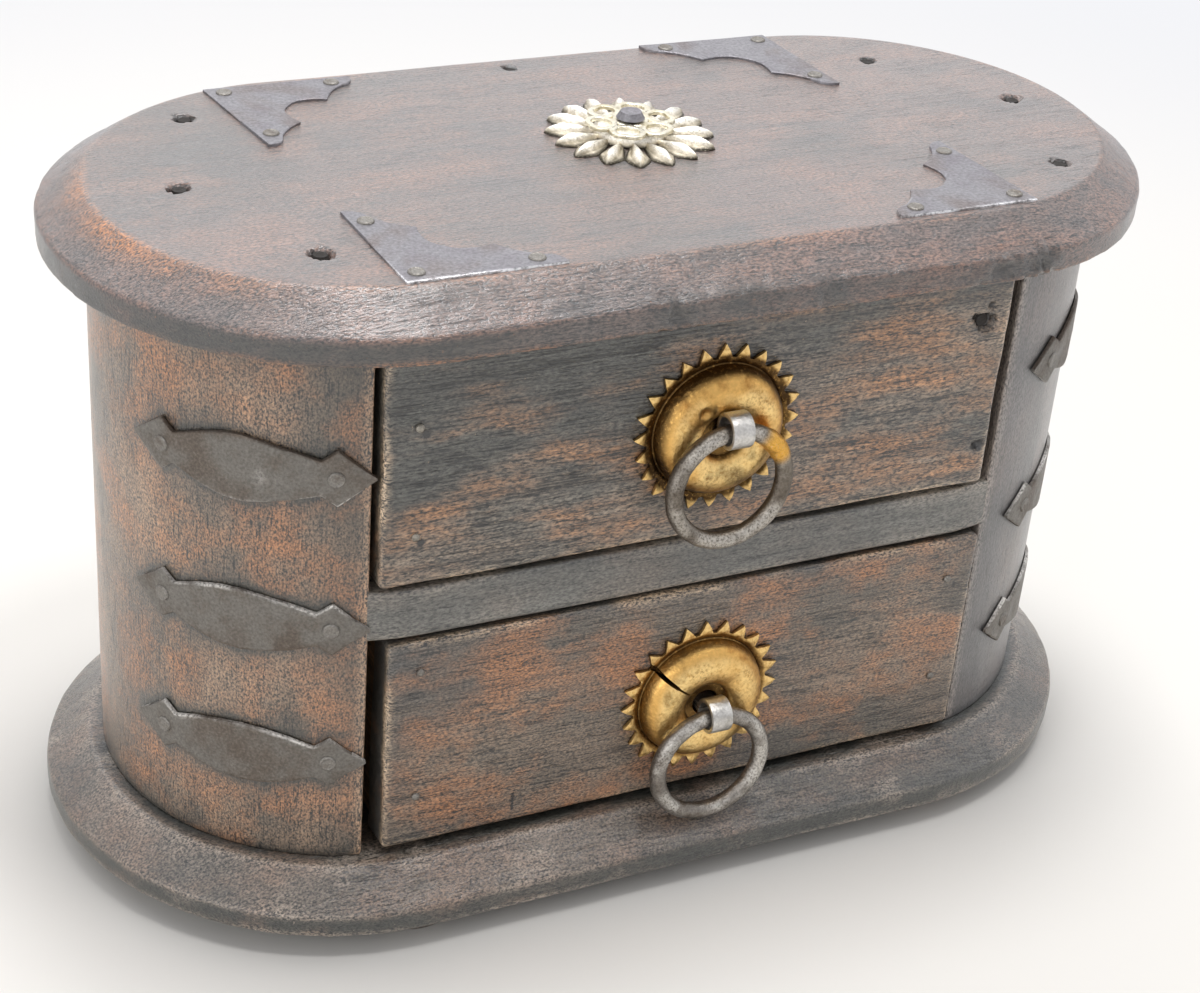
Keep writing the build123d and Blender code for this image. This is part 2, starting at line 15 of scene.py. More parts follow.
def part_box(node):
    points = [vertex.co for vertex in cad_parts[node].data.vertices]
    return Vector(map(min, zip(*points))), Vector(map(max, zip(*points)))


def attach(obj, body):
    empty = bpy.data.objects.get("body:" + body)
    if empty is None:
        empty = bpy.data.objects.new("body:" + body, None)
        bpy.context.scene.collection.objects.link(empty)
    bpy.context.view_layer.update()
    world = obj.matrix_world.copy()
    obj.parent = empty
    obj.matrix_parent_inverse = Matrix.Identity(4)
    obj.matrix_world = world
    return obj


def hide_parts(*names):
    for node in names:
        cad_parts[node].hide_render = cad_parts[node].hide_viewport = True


MM = 0.001
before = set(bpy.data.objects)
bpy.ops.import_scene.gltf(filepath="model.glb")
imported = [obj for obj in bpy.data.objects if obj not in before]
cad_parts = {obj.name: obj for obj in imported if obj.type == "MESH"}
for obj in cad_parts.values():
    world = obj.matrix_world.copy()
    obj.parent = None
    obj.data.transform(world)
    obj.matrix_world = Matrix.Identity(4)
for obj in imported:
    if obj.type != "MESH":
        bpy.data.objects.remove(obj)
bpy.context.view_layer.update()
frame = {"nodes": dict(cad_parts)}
nodes = frame["nodes"]

# %% [markdown]
# The chest's plan is a stadium: two straight sides joined by half circles. Its driving sizes are read
# from the boxes of the CAD pieces, so the dressed pieces always fit the solids they stand for.

# %% Driving sizes
def box_mm(node):
    """Lowest and highest corner of a CAD piece, in millimetres."""
    low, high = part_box(node)
    return np.array(low) / MM, np.array(high) / MM


top_low, top_high = box_mm("top_board")
base_low, base_high = box_mm("base_board")
block_low, block_high = box_mm("right_end_block")
top_radius = (top_high[1] - top_low[1]) / 2
base_radius = (base_high[1] - base_low[1]) / 2
half_straight = top_high[0] - top_radius
carcass_radius = block_high[0] - half_straight
bay_x = block_low[0]
print("straight half", round(half_straight, 2), "radii", round(top_radius, 2), round(carcass_radius, 2))

# %% [markdown]
# Old wood and hammered metal are never quite flat. One smooth random field, sampled at several sizes,
# is enough for dents, waves and stains. It is worked out for all points at once.

# %% An uneven field
def uneven(points, size, seed):
    """Random values on a lattice with cells of the given size, blended by a smooth step: -1 to 1."""
    table = np.random.default_rng(seed).uniform(-1, 1, 4096)
    scatter = np.array([73856093, 19349663, 83492791])  # large primes, so that neighbours share no value
    cells = np.asarray(points, float) / np.asarray(size, float) + 500
    corner = np.floor(cells).astype(np.int64)
    part = cells - corner
    part = part * part * (3 - 2 * part)
    total = np.zeros(len(cells))
    for x in (0, 1):
        for y in (0, 1):
            for z in (0, 1):
                step = np.array([x, y, z])
                key = np.bitwise_xor.reduce((corner + step) * scatter, axis=1)
                weight = np.prod(np.where(step, part, 1 - part), axis=1)
                total += weight * table[key % len(table)]
    return total


def rough(points, size, seed):
    """Three sizes of unevenness added, each half as wide and half as strong as the one before."""
    size = np.asarray(size, float)
    return (uneven(points, size, seed) + 0.5 * uneven(points, size / 2, seed + 1)
            + 0.25 * uneven(points, size / 4, seed + 2)) / 1.75


def ramp(values, start, end):
    """Smooth step from 0 at start to 1 at end."""
    t = np.clip((values - start) / (end - start), 0, 1)
    return t * t * (3 - 2 * t)


sample_line = np.linspace(0, 100, 6)[:, None] * [1, 0, 0]
print("unevenness every 20 mm of a line:", np.round(rough(sample_line, 24, 3), 2))

# %% [markdown]
# Every new piece is a grid of points. The next helpers turn grids into quads, join shared edges, and
# hand the mesh to the body and the CAD piece that it stands for. Two marks can be stored on the points:
# wear and highlight, where a surface is rubbed and where a lit edge is painted bright, and grime and
# shade, where dirt has settled and where shade is painted darker.

# %% From grids to pieces
def grid_quads(rows, columns, close_rows=False, close_columns=False, start=0):
    """Quads of a grid stored row by row, wrapped round in either direction if asked."""
    row = np.arange(rows if close_rows else rows - 1)
    column = np.arange(columns if close_columns else columns - 1)
    row, column = np.meshgrid(row, column, indexing="ij")
    next_row, next_column = (row + 1) % rows, (column + 1) % columns
    corners = (row * columns + column, row * columns + next_column,
               next_row * columns + next_column, next_row * columns + column)
    return np.stack([c.ravel() for c in corners], 1) + start


def stack(parts):
    """Several (points, quads) pairs as one."""
    points, quads, count = [], [], 0
    for part_points, part_quads in parts:
        part_points = np.asarray(part_points, float).reshape(-1, 3)
        points.append(part_points)
        quads.append(part_quads + count)
        count += len(part_points)
    return np.concatenate(points), np.concatenate(quads)


def dress(name, surface, body, stands_for, marks=None, sharp=50):
    """Write a surface as a mesh piece, join its seams, turn its faces out and seat it on its body."""
    points, quads = surface
    mesh = bpy.data.meshes.new(name)
    mesh.from_pydata((points * MM).tolist(), [], quads.tolist())
    shell = bmesh.new()
    shell.from_mesh(mesh)
    bmesh.ops.remove_doubles(shell, verts=shell.verts, dist=2e-6)
    bmesh.ops.dissolve_degenerate(shell, edges=shell.edges, dist=1e-7)
    bmesh.ops.recalc_face_normals(shell, faces=shell.faces)
    shell.to_mesh(mesh)
    shell.free()
    mesh.polygons.foreach_set("use_smooth", np.ones(len(mesh.polygons), bool))
    mesh.set_sharp_from_angle(angle=math.radians(sharp))
    final = np.zeros(len(mesh.vertices) * 3)
    mesh.vertices.foreach_get("co", final)
    final = final.reshape(-1, 3) / MM
    for mark, values in (marks(final) if marks else {}).items():
        layer = mesh.attributes.new(mark, "FLOAT", "POINT")
        layer.data.foreach_set("value", np.clip(values, 0, 1).astype(np.float32))
    piece = bpy.data.objects.new(name, mesh)
    bpy.context.scene.collection.objects.link(piece)
    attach(piece, body)
    if stands_for:
        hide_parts(*stands_for)
    print(name, len(mesh.polygons), "faces")


print("a grid of 3 by 4 points has", len(grid_quads(3, 4)), "faces")

# %% [markdown]
# Profiles and outlines are drawn as a few corners. Real edges are never sharp, so the corners are rounded
# first, and long runs are then cut into short steps that can carry dents.

# %% Rounded outlines
def soften(corners, radii, steps=5):
    """A polyline whose inner corners are rounded by arcs of the given radii."""
    corners = np.asarray(corners, float)
    out = [corners[:1]]
    for before, here, after, radius in zip(corners[:-2], corners[1:-1], corners[2:], radii):
        a = (before - here) / np.linalg.norm(before - here)
        b = (after - here) / np.linalg.norm(after - here)
        t = np.linspace(0, 1, steps)[:, None]
        start, end = here + a * radius, here + b * radius
        out.append((1 - t) ** 2 * start + 2 * t * (1 - t) * here + t ** 2 * end)
    out.append(corners[-1:])
    return np.concatenate(out)


def even(polyline, spacing):
    """The same polyline with no step longer than the spacing."""
    out = [polyline[:1]]
    for a, b in zip(polyline[:-1], polyline[1:]):
        count = max(1, math.ceil(np.linalg.norm(b - a) / spacing))
        out.append(a + (b - a) * (np.arange(1, count + 1) / count)[:, None])
    return np.concatenate(out)


print("a softened right angle has", len(soften([(0, 0), (9, 0), (9, 9)], (2,))), "points")

# %% [markdown]
# The top and base are thick boards with a wide bevel worked round the upper edge. A profile from the
# middle of the upper face, over the bevel and edge, and back under to the middle is carried round the
# stadium. The corners are rounded by long handling, and the surface waves a little.

# %% Stadium boards
bevel_run, bevel_drop = 10.0, 6.6


def stadium_path(spacing):
    """Spine points and outward directions round a stadium; the arcs share one spine point each."""
    straight = np.linspace(-half_straight, half_straight, math.ceil(2 * half_straight / spacing))
    turn = np.linspace(-math.pi / 2, math.pi / 2, math.ceil(math.pi * top_radius / spacing))[1:-1]
    right = np.stack([np.full(turn.shape, half_straight), 0 * turn, np.cos(turn), np.sin(turn)], 1)
    back = np.stack([straight[::-1], 0 * straight, 0 * straight, 0 * straight + 1], 1)
    left = right * [-1, 1, -1, -1]
    front = np.stack([straight, 0 * straight, 0 * straight, 0 * straight - 1], 1)
    path = np.concatenate([right, back, left, front])
    return path[:, :2], path[:, 2:]


def board(low_z, high_z, radius, seed, inner_spacing, pits=(), chips=()):
    """Profile (distance from the spine, height) carried round the stadium, then dented, pitted and chipped."""
    profile = soften(
        [(0, high_z), (radius - bevel_run, high_z), (radius, high_z - bevel_drop), (radius, low_z), (0, low_z)],
        (0.9, 0.9, 0.8),
    )
    profile = np.concatenate([even(profile[:2], inner_spacing), even(profile[1:-1], 0.8)[1:],
                              even(profile[-2:], 6.0)[1:]])
    spine, outward = stadium_path(1.05)
    plan = spine[:, None, :] + outward[:, None, :] * profile[None, :, 0, None]
    height = np.broadcast_to(profile[None, :, 1], plan.shape[:2])
    points = np.concatenate([plan, height[..., None]], 2).reshape(-1, 3)
    share = np.tile(profile[:, 0] / radius, len(spine))
    side = np.repeat(outward, len(profile), 0)
    inward = rough(points, 24, seed) * 0.3 + rough(points, 5, seed + 5) * 0.14
    for x, width, depth in chips:
        nick = np.exp(-((points[:, 0] - x) / width) ** 2)
        nick = nick * ramp(rough(points, (1.6, 1.6, 2.6), seed + 7), -0.3, 0.3)
        nick = nick * ramp(high_z - points[:, 2], bevel_drop - 2.5, bevel_drop - 0.5)
        inward = inward - np.where(points[:, 1] < 0, depth * nick, 0)
    inward = np.minimum(inward - 0.35, 0) * ramp(share, 0.86, 0.97)
    points[:, :2] += side * inward[:, None]
    upper = points[:, 2] > low_z + 0.3
    dip = np.minimum(rough(points, 34, seed + 9) * 0.14 - 0.14, 0)
    bevel = ramp(share, 1 - bevel_run / radius, 1 - bevel_run / radius + 0.02)
    dip = dip + bevel * np.minimum(rough(points, 2.0, seed + 13) * 0.24 - 0.05, 0)
    for x, y, width, depth in pits:
        away = np.hypot(points[:, 0] - x, points[:, 1] - y) + 0.8 * uneven(points, 1.6, seed + 17)
        dip = dip - depth * ramp(-away, -width, -0.7 * width)
    points[:, 2] += np.where(upper, dip, 0)
    return points, grid_quads(len(spine), len(profile), close_rows=True)


print("round the stadium:", len(stadium_path(1.05)[0]), "steps")

# %% [markdown]
# Hands rub the two arrises, which are the lines where faces meet, and most of all the left end of the bevel.
# Dirt stays in the chips, and the upright edge under the bevel is painted darker as shade. The lower board has
# dirt in the seam below the blocks. Marks are worked out from each point's place, so they follow the shape.

# %% Wear on the boards
# Each chip along the top's front edge: place along it, half width and depth.
top_chips = ((-16.5, 6.0, 1.0), (59.0, 8.0, 0.9), (72.0, 4.0, 1.2), (20.0, 5.0, 0.7), (2.0, 9.0, 0.5),
             (38.0, 9.0, 0.5))


def board_marks(radius, low_z, high_z, seed, rub):
    """Bell curves of the distance to each arris, seam and chip, broken up by the uneven field."""
    def marks(points):
        x, y, z = points.T
        reach = np.hypot(np.maximum(np.abs(x) - half_straight, 0), y)
        inner = reach - (radius - bevel_run)
        left = ramp(-x, 60, 95) * ramp(y, -56, -30) * ramp(-y, -40, 10)
        lower = np.exp(-((z - low_z) / 0.9) ** 2) + 0.5 * np.exp(-((high_z - bevel_drop - z) / 0.7) ** 2)
        arris = np.exp(-(inner / 0.9) ** 2) * 0.45 + np.exp(-((reach - radius) / 0.8) ** 2) * 0.9 * lower
        broad = np.exp(-((inner - 1.2) / 2.8) ** 2) * left * rub * ramp(inner, -1.6, 0.4)
        wear = (arris * ramp(rough(points, (18, 14, 14), seed), -0.4, 0.5)
                + broad * ramp(rough(points, 14, seed + 1), -0.8, 0.3)
                + (1 - rub) * 0.6 * ramp(rough(points, (9, 9, 6), seed + 8), 0.1, 0.8))
        front = ramp(x, -70, -30) * (y < 0)
        # Painted shade: the upright edge and underside below the bevel are darkened, less at the top's rubbed
        # front left.
        under = ramp(high_z - z, bevel_drop + 0.2, bevel_drop + 1.6) * (1.1 - 0.95 * rub * front)
        seam = (1 - rub) * np.exp(-(np.maximum(reach - carcass_radius, 0) / 1.0) ** 2) * (z > high_z - 2)
        cool = (1 - rub) * ramp(x, -50, 60) * ramp(-y, 20, 60)
        chipped = sum(np.exp(-((x - place) / width) ** 2) for place, width, _ in top_chips)
        chipped = rub * chipped * ramp(reach, radius - 4, radius - 1) * (y < 0)
        patches = ramp(rough(points, (46, 26, 14), seed + 3), 0.1, 0.7)
        return {"wear": wear, "grime": 0.9 * under + 2 * seam + 0.7 * chipped + 0.45 * patches + cool}
    return marks


print("chips along the front edge:", len(top_chips))

# %% [markdown]
# Seven nails hold the top board. Each was driven below the surface, and the wood round it has broken away to
# a small ragged pit. Their places are shares of the end's radius and angles round it.

# %% Top and base boards
nail_rows = ((-1, (0.82, 0.65, 0.73), (58, 3, -63)), (1, (0.71, 0.76, 0.85), (59, 2, -50)))
top_nail_places = []
for side, shares, angles in nail_rows:
    for share, angle in zip(shares, np.radians(angles)):
        reach = share * carcass_radius
        top_nail_places.append((side * (half_straight + reach * math.cos(angle)), reach * math.sin(angle)))
top_nail_places.append((-0.08 * half_straight, 0.9 * carcass_radius))
pit_widths, pit_depth = (2.3, 2.4, 2.7, 2.0, 2.6, 2.2, 1.9), 1.7
top_pits = [(x, y, width, pit_depth) for (x, y), width in zip(top_nail_places, pit_widths)]

dress("worn_top_board", board(top_low[2], top_high[2], top_radius, 3, 0.9, top_pits, top_chips), "chest",
      ["top_board"], board_marks(top_radius, top_low[2], top_high[2], 3, 1.0))
dress("worn_base_board", board(base_low[2], base_high[2], base_radius, 21, 1.4), "chest",
      ["base_board"], board_marks(base_radius, base_low[2], base_high[2], 21, 0.3))

# %% [markdown]
# The end blocks, the back panel and the divider are upright prisms: an outline in plan, carried up.
# Their outlines are arcs and straight runs, and the rims are drawn in a little so that edges catch light.

# %% Upright prisms
def prism(outline, low_z, high_z, rim, spacing, swell, seed):
    """A closed outline carried up; the rims shrink towards the middle and close in a fan."""
    outline = np.asarray(outline, float)
    middle = outline.mean(0)
    ahead = np.roll(outline, -1, 0) - np.roll(outline, 1, 0)
    outward = np.stack([ahead[:, 1], -ahead[:, 0]], 1) / np.linalg.norm(ahead, axis=1)[:, None]
    levels = even(np.array([[low_z + rim, 0], [high_z - rim, 0]]), spacing)[:, 0]
    turn = np.linspace(0, math.pi / 2, 4)
    z = np.concatenate([[low_z], low_z + rim * (1 - np.cos(turn[:-1])), levels,
                        high_z - rim * (1 - np.cos(turn[:-1][::-1])), [high_z]])
    draw = np.concatenate([[0], rim * (1 - np.sin(turn[:-1])), 0 * levels,
                           rim * (1 - np.sin(turn[:-1][::-1])), [0]])
    fan = np.concatenate([[1], 0 * turn[:-1], 0 * levels, 0 * turn[:-1], [1]])
    plan = outline[None] - outward[None] * draw[:, None, None]
    plan = plan * (1 - fan[:, None, None]) + middle * fan[:, None, None]
    points = np.concatenate([plan, np.broadcast_to(z[:, None, None], plan.shape[:2] + (1,))], 2).reshape(-1, 3)
    wave = np.minimum(rough(points, (30, 30, 60), seed) * swell - swell, 0)
    points[:, :2] += np.tile(outward, (len(z), 1)) * (wave * np.repeat(1 - fan, len(outline)))[:, None]
    return points, grid_quads(len(z), len(outline), close_columns=True)


def arc_points(centre_x, radius, start, end, spacing):
    """Points of an arc about (centre_x, 0), angles in radians."""
    turn = np.linspace(start, end, max(2, math.ceil(abs(end - start) * radius / spacing)))
    return np.stack([centre_x + radius * np.cos(turn), radius * np.sin(turn)], 1)


panel_low, panel_high = box_mm("back_panel")
divider_low, divider_high = box_mm("drawer_divider")
panel_x, panel_y = panel_high[0], panel_low[1]
arris_turn = math.acos((bay_x - half_straight) / carcass_radius)
panel_turn = math.acos((panel_x - half_straight) / carcass_radius)
divider_turn = math.acos((divider_high[0] - half_straight) / carcass_radius)

front_arris = np.array([bay_x, -carcass_radius * math.sin(arris_turn)])
block_inner = soften(
    [(panel_x, carcass_radius * math.sin(panel_turn)), (panel_x, panel_y), (bay_x, panel_y), front_arris,
     arc_points(half_straight, carcass_radius, -arris_turn, 0, 3.0)[1]],
    (0.3, 0.3, 1.3),
)
block_arc = arc_points(half_straight, carcass_radius, -arris_turn + 0.06, panel_turn, 0.8)
right_outline = np.concatenate([even(block_inner, 2.0)[1:-1], block_arc])
print("outline of an end block:", len(right_outline), "points")

# %% [markdown]
# Iron straps are nailed round the end blocks, and the wood beside them is darkened, partly by dirt and partly as
# painted shade. So the places of the straps are needed before the wood is marked: they are measured on the CAD
# pieces. A strap's outline is a swollen belly, two necks and two barbed tips.

# %% Where the straps lie
strap_half, belly, neck, barb, tip = 25.7, 7.6, 3.8, 6.25, 0.25
strap_labels = [f"{side}_{level}_strap" for side in ("left", "right") for level in ("upper", "middle", "lower")]
strap_sides = {label: -1 if label.startswith("left") else 1 for label in strap_labels}


def strap_half_height(share):
    """Half the strap's height at a share of its half length: belly, neck, barb and tip."""
    places = (0, 0.18, 0.40, 0.61, 0.73, 1)
    return np.interp(np.abs(share), places, (belly, belly * 0.93, belly * 0.74, neck, barb, tip))


def strap_frame(label, side):
    """Middle angle, middle height and slope of a strap, measured on its CAD piece."""
    vertices = nodes[label].data.vertices
    raw = np.zeros(len(vertices) * 3)
    vertices.foreach_get("co", raw)
    raw = raw.reshape(-1, 3) / MM
    turn = np.arctan2(-raw[:, 1], side * (raw[:, 0] - side * half_straight))
    first, last = raw[turn.argmin()], raw[turn.argmax()]
    return (turn.min() + turn.max()) / 2, (first[2] + last[2]) / 2, (last[2] - first[2]) / (2 * strap_half)


def strap_spot(points, frame, side):
    """Place along and across a strap of points on the round end, and how far outside its outline they are."""
    turn = np.arctan2(-points[:, 1], side * (points[:, 0] - side * half_straight))
    along = carcass_radius * np.sin(turn - frame[0])
    across = points[:, 2] - frame[1] - along * frame[2]
    outside = np.maximum(np.abs(across) - strap_half_height(along / strap_half), np.abs(along) - strap_half)
    return along, across, np.where(np.cos(turn - frame[0]) > 0, outside, 99.0)


strap_frames = {label: strap_frame(label, side) for label, side in strap_sides.items()}
print("strap heights:", [round(place[1], 1) for place in strap_frames.values()])

# %% [markdown]
# The two end blocks are solid half-round uprights with their grain standing. The front arris by the drawers
# is rubbed. The wood is darker along the seams, round the straps and beside the drawer gap: dirt and dark joints,
# with painted shade under the top board, round the straps and by the gap.

# %% End blocks
def block_marks(seed):
    """Bell curves of the distance to the front arris, the seams, the gap and each strap's outline."""
    def marks(points):
        x, y, z = points.T
        # Round each strap a dark outline and a wider halo: partly dirt, partly painted shade.
        around = 0
        for label, side in strap_sides.items():
            outside = np.maximum(strap_spot(points, strap_frames[label], side)[2], 0)
            near = np.exp(-(outside / 1.5) ** 2) + 0.35 * np.exp(-(outside / 6.0) ** 2)
            around = around + near * (x * side > 0)
        past_bay = np.abs(x) - bay_x
        # Painted shade on the left block beside the drawer gap.
        gap = np.exp(-past_bay / 7.0) * (y < 0) * (x < 0)
        front = np.exp(-(past_bay / 1.5) ** 2) * (y < 0)
        # A dark joint at the foot, and painted shade under the top board at the head.
        seam = np.exp(-(z - block_low[2]) / 2.0) + 0.9 * np.exp(-(block_high[2] - z) / 4.0)
        blotch = ramp(rough(points, (16, 16, 34), seed + 2), 0.15, 0.7)
        return {"wear": front * 0.8 + 0.3 * ramp(rough(points, (14, 14, 30), seed), 0.1, 0.7),
                "grime": seam + 0.6 * blotch + around + 1.1 * gap}
    return marks


for side, label, seed in ((-1, "left", 31), (1, "right", 47)):
    outline = right_outline if side > 0 else (right_outline * [-1, 1])[::-1]
    surface = prism(outline, block_low[2], block_high[2], 0.25, 0.9, 0.25, seed)
    dress(f"worn_{label}_end_block", surface, "chest", [f"{label}_end_block"], block_marks(seed), 40)

# %% [markdown]
# The back panel is let into rebates in the blocks. Its outline is the straight back with a short piece of
# arc at each end, so it continues the round of the blocks.

# %% Back panel
panel_arc = arc_points(half_straight, carcass_radius, panel_turn, math.pi / 2, 2.0)
panel_outline = np.concatenate([
    even(np.array([(-panel_x, panel_y), (panel_x, panel_y)]), 2.5)[:-1], [(panel_x, panel_y)], panel_arc,
    even(np.array([(half_straight, carcass_radius), (-half_straight, carcass_radius)]), 2.5)[1:-1],
    (panel_arc * [-1, 1])[::-1],
])
dress("worn_back_panel", prism(panel_outline, panel_low[2], panel_high[2], 0.2, 2.5, 0.2, 61), "chest",
      ["back_panel"], block_marks(61), 40)

# %% [markdown]
# The divider is the shelf between the drawers, housed in the blocks. Its front edge is what shows: it is
# rubbed by the drawers above and below and dirty between them.

# %% Drawer divider
divider_arc = arc_points(half_straight, carcass_radius, -math.pi / 2, -divider_turn, 1.5)
divider_x, divider_front = divider_high[0], divider_arc[-1, 1]
divider_outline = np.concatenate([
    (divider_arc * [-1, 1])[::-1],
    even(np.array([(-half_straight, -carcass_radius), (half_straight, -carcass_radius)]), 1.6)[1:-1], divider_arc,
    even(np.array([(divider_x, divider_front), (divider_x, panel_y), (-divider_x, panel_y),
                   (-divider_x, divider_front)]), 2.5)[1:-1],
])


def divider_marks(points):
    """The divider's front is rubbed along its two edges and dirty between the drawers."""
    edge = np.exp(-(points[:, 2] - divider_low[2]) / 1.2) + np.exp(-(divider_high[2] - points[:, 2]) / 1.2)
    return {"wear": edge * ramp(rough(points, (20, 10, 6), 71), -0.3, 0.5),
            "grime": 0.35 + 0.6 * ramp(points[:, 1], -carcass_radius + 1, -carcass_radius + 10)}


dress("worn_drawer_divider", prism(divider_outline, divider_low[2], divider_high[2], 1.0, 1.5, 0.25, 70), "chest",
      ["drawer_divider"], divider_marks, 40)

# %% [markdown]
# A drawer front is a slab whose edges have been worn round. Six face grids are joined to a box, and each
# point is pulled to a fixed distance from an inner box, which rounds every edge and corner at once.

# %% Worn slabs
def slab(low, high, radius, spacing, seed, hollows=()):
    """A box with rounded edges: inner box point plus radius times the direction; ragged hollows in front."""
    axes = []
    for a, b in zip(low, high):
        rim = radius * np.array([0, 0.15, 0.4, 0.75, 1.1])
        run = np.linspace(a + rim[-1], b - rim[-1], max(2, math.ceil((b - a) / spacing)))
        axes.append(np.concatenate([a + rim[:-1], run, (b - rim[:-1])[::-1]]))
    parts = []
    for flat in range(3):
        u, v = [axis for axis in range(3) if axis != flat]
        first, second = np.meshgrid(axes[u], axes[v], indexing="ij")
        for level in (low[flat], high[flat]):
            points = np.zeros(first.shape + (3,))
            points[..., u], points[..., v], points[..., flat] = first, second, level
            parts.append((points, grid_quads(*first.shape)))
    points, quads = stack(parts)
    inner = np.clip(points, low + radius, high - radius)
    away = points - inner
    away /= np.linalg.norm(away, axis=1)[:, None]
    worn = radius + np.minimum(rough(points, (24, 8, 10), seed) * 0.3 - 0.22, 0)
    points = inner + away * worn[:, None]
    for x, z, width, depth in hollows:
        off = np.hypot(points[:, 0] - x, points[:, 2] - z) + 0.45 * width * uneven(points, 1.5, seed + 9)
        points[:, 1] += depth * ramp(-off, -width, -0.6 * width) * (points[:, 1] < low[1] + 1.0)
    return points, quads


print("a rounded box of 20 mm has", len(slab(np.zeros(3), np.full(3, 20.0), 1.5, 5.0, 1)[1]), "faces")

# %% [markdown]
# The edges of the fronts are rubbed pale by fingers. A dark stain spreads over the upper left, and dirt lies
# along the rims. The upper front has lost wood round the nails at its right end, as ragged hollows.

# %% Drawer fronts
def front_marks(low, high, seed, lift):
    """Bell curve of the distance to the nearest edge; a slanted ramp, made ragged, for the stain."""
    def marks(points):
        x, y, z = points.T
        edge = np.minimum.reduce([x - low[0], high[0] - x, z - low[2], high[2] - z])
        face = ramp(-y, -low[1] - 3, -low[1] - 0.6)
        wear = np.exp(-(edge / 1.3) ** 2) * face * ramp(rough(points, (14, 8, 14), seed), -0.5, 0.4)
        across, up = (x - low[0]) / (high[0] - low[0]), (z - low[2]) / (high[2] - low[2])
        dark = ramp(lift * up - 0.9 * across + 0.5 * rough(points, (40, 10, 14), seed + 4), 0.0, 0.55)
        rim = np.exp(-edge / 3.5) * ramp(rough(points, (18, 8, 9), seed + 6), -0.6, 0.3)
        grime = (1 - face) * 0.8 + 0.95 * dark + 0.7 * rim
        return {"wear": wear, "grime": grime * (1 - 0.5 * wear)}
    return marks


# Each hollow: place across and up, width and depth.
upper_hollows = ((65.8, 128.8, 2.3, 1.8), (62.6, 130.2, 1.1, 0.8), (66.5, 132.6, 1.0, 0.8), (69.0, 97.4, 1.7, 1.2))
for level, seed, hollows, stain_lift in (("upper", 81, upper_hollows, 1.15), ("lower", 93, (), 0.3)):
    low, high = box_mm(f"{level}_drawer_front")
    dress(f"worn_{level}_drawer_front", slab(low, high, 1.5, 0.75, seed, hollows), f"{level}_drawer",
          [f"{level}_drawer_front"], front_marks(low, high, seed, stain_lift), 60)

# %% [markdown]
# The fronts are nailed to the drawer sides. Small domed heads show where the nails are still whole: two on
# the upper front and four on the lower. A head is a profile spun round its nail's axis.

# %% Nail heads on the drawer fronts
def lathe(profile, centre, axis, steps):
    """A profile of (distance, height) spun about an axis through a centre."""
    axis = np.asarray(axis, float)
    side = np.cross(axis, (0.0, 0.0, 1.0) if abs(axis[2]) < 0.9 else (1.0, 0.0, 0.0))
    side /= np.linalg.norm(side)
    turn = np.linspace(0, 2 * math.pi, steps, endpoint=False)[:, None, None]
    around = np.cos(turn) * side + np.sin(turn) * np.cross(axis, side)
    points = np.asarray(centre, float) + profile[None, :, :1] * around + profile[None, :, 1:] * axis
    return points.reshape(-1, 3), grid_quads(steps, len(profile), close_rows=True)


up_axis, front_axis = (0.0, 0.0, 1.0), (0.0, -1.0, 0.0)
nail_inset = 7.5
nail_profile = even(soften([(0, 0.8), (0.5, 0.75), (0.95, 0.35), (0.8, -0.6), (0, -0.6)], (0.2, 0.2, 0.05)), 0.3)
for level, left_shares, right_shares in (("upper", (0.22, 0.68), ()), ("lower", (0.25, 0.86), (0.29, 0.80))):
    low, high = box_mm(f"{level}_drawer_front")
    heads = []
    for x, shares in ((low[0] + nail_inset, left_shares), (high[0] - nail_inset, right_shares)):
        for share in shares:
            seat = (x, low[1] + 0.1, low[2] + share * (high[2] - low[2]))
            heads.append(lathe(nail_profile, seat, front_axis, 20))
    dress(f"{level}_front_nail_heads", stack(heads), f"{level}_drawer", [], None, 40)

# %% [markdown]
# Each pull has a pressed brass escutcheon: a toothed rim, a groove, a raised ring and a sunk centre.
# Height is a function of distance from the middle, and the outer edge follows a saw-tooth wave.

# %% Brass escutcheons
tooth_count = 24
hole_r, recess_r, crest_r, dome_r, rim_r, tip_r = 3.2, 5.0, 9.4, 15.0, 16.6, 19.5
recess_h, crest_h, sheet_h = 3.4, 5.6, 0.8


def dome_height(distance):
    """Height of the pressed sheet: sunk centre, one round hump, then the flat rim."""
    rise = np.where(distance < crest_r, (crest_r - distance) / (crest_r - recess_r),
                    (distance - crest_r) / (dome_r - crest_r))
    floor = np.where(distance < crest_r, recess_h, sheet_h)
    return floor + (crest_h - floor) * np.sqrt(np.clip(1 - rise ** 2, 0, 1)) * (np.abs(rise) < 1)


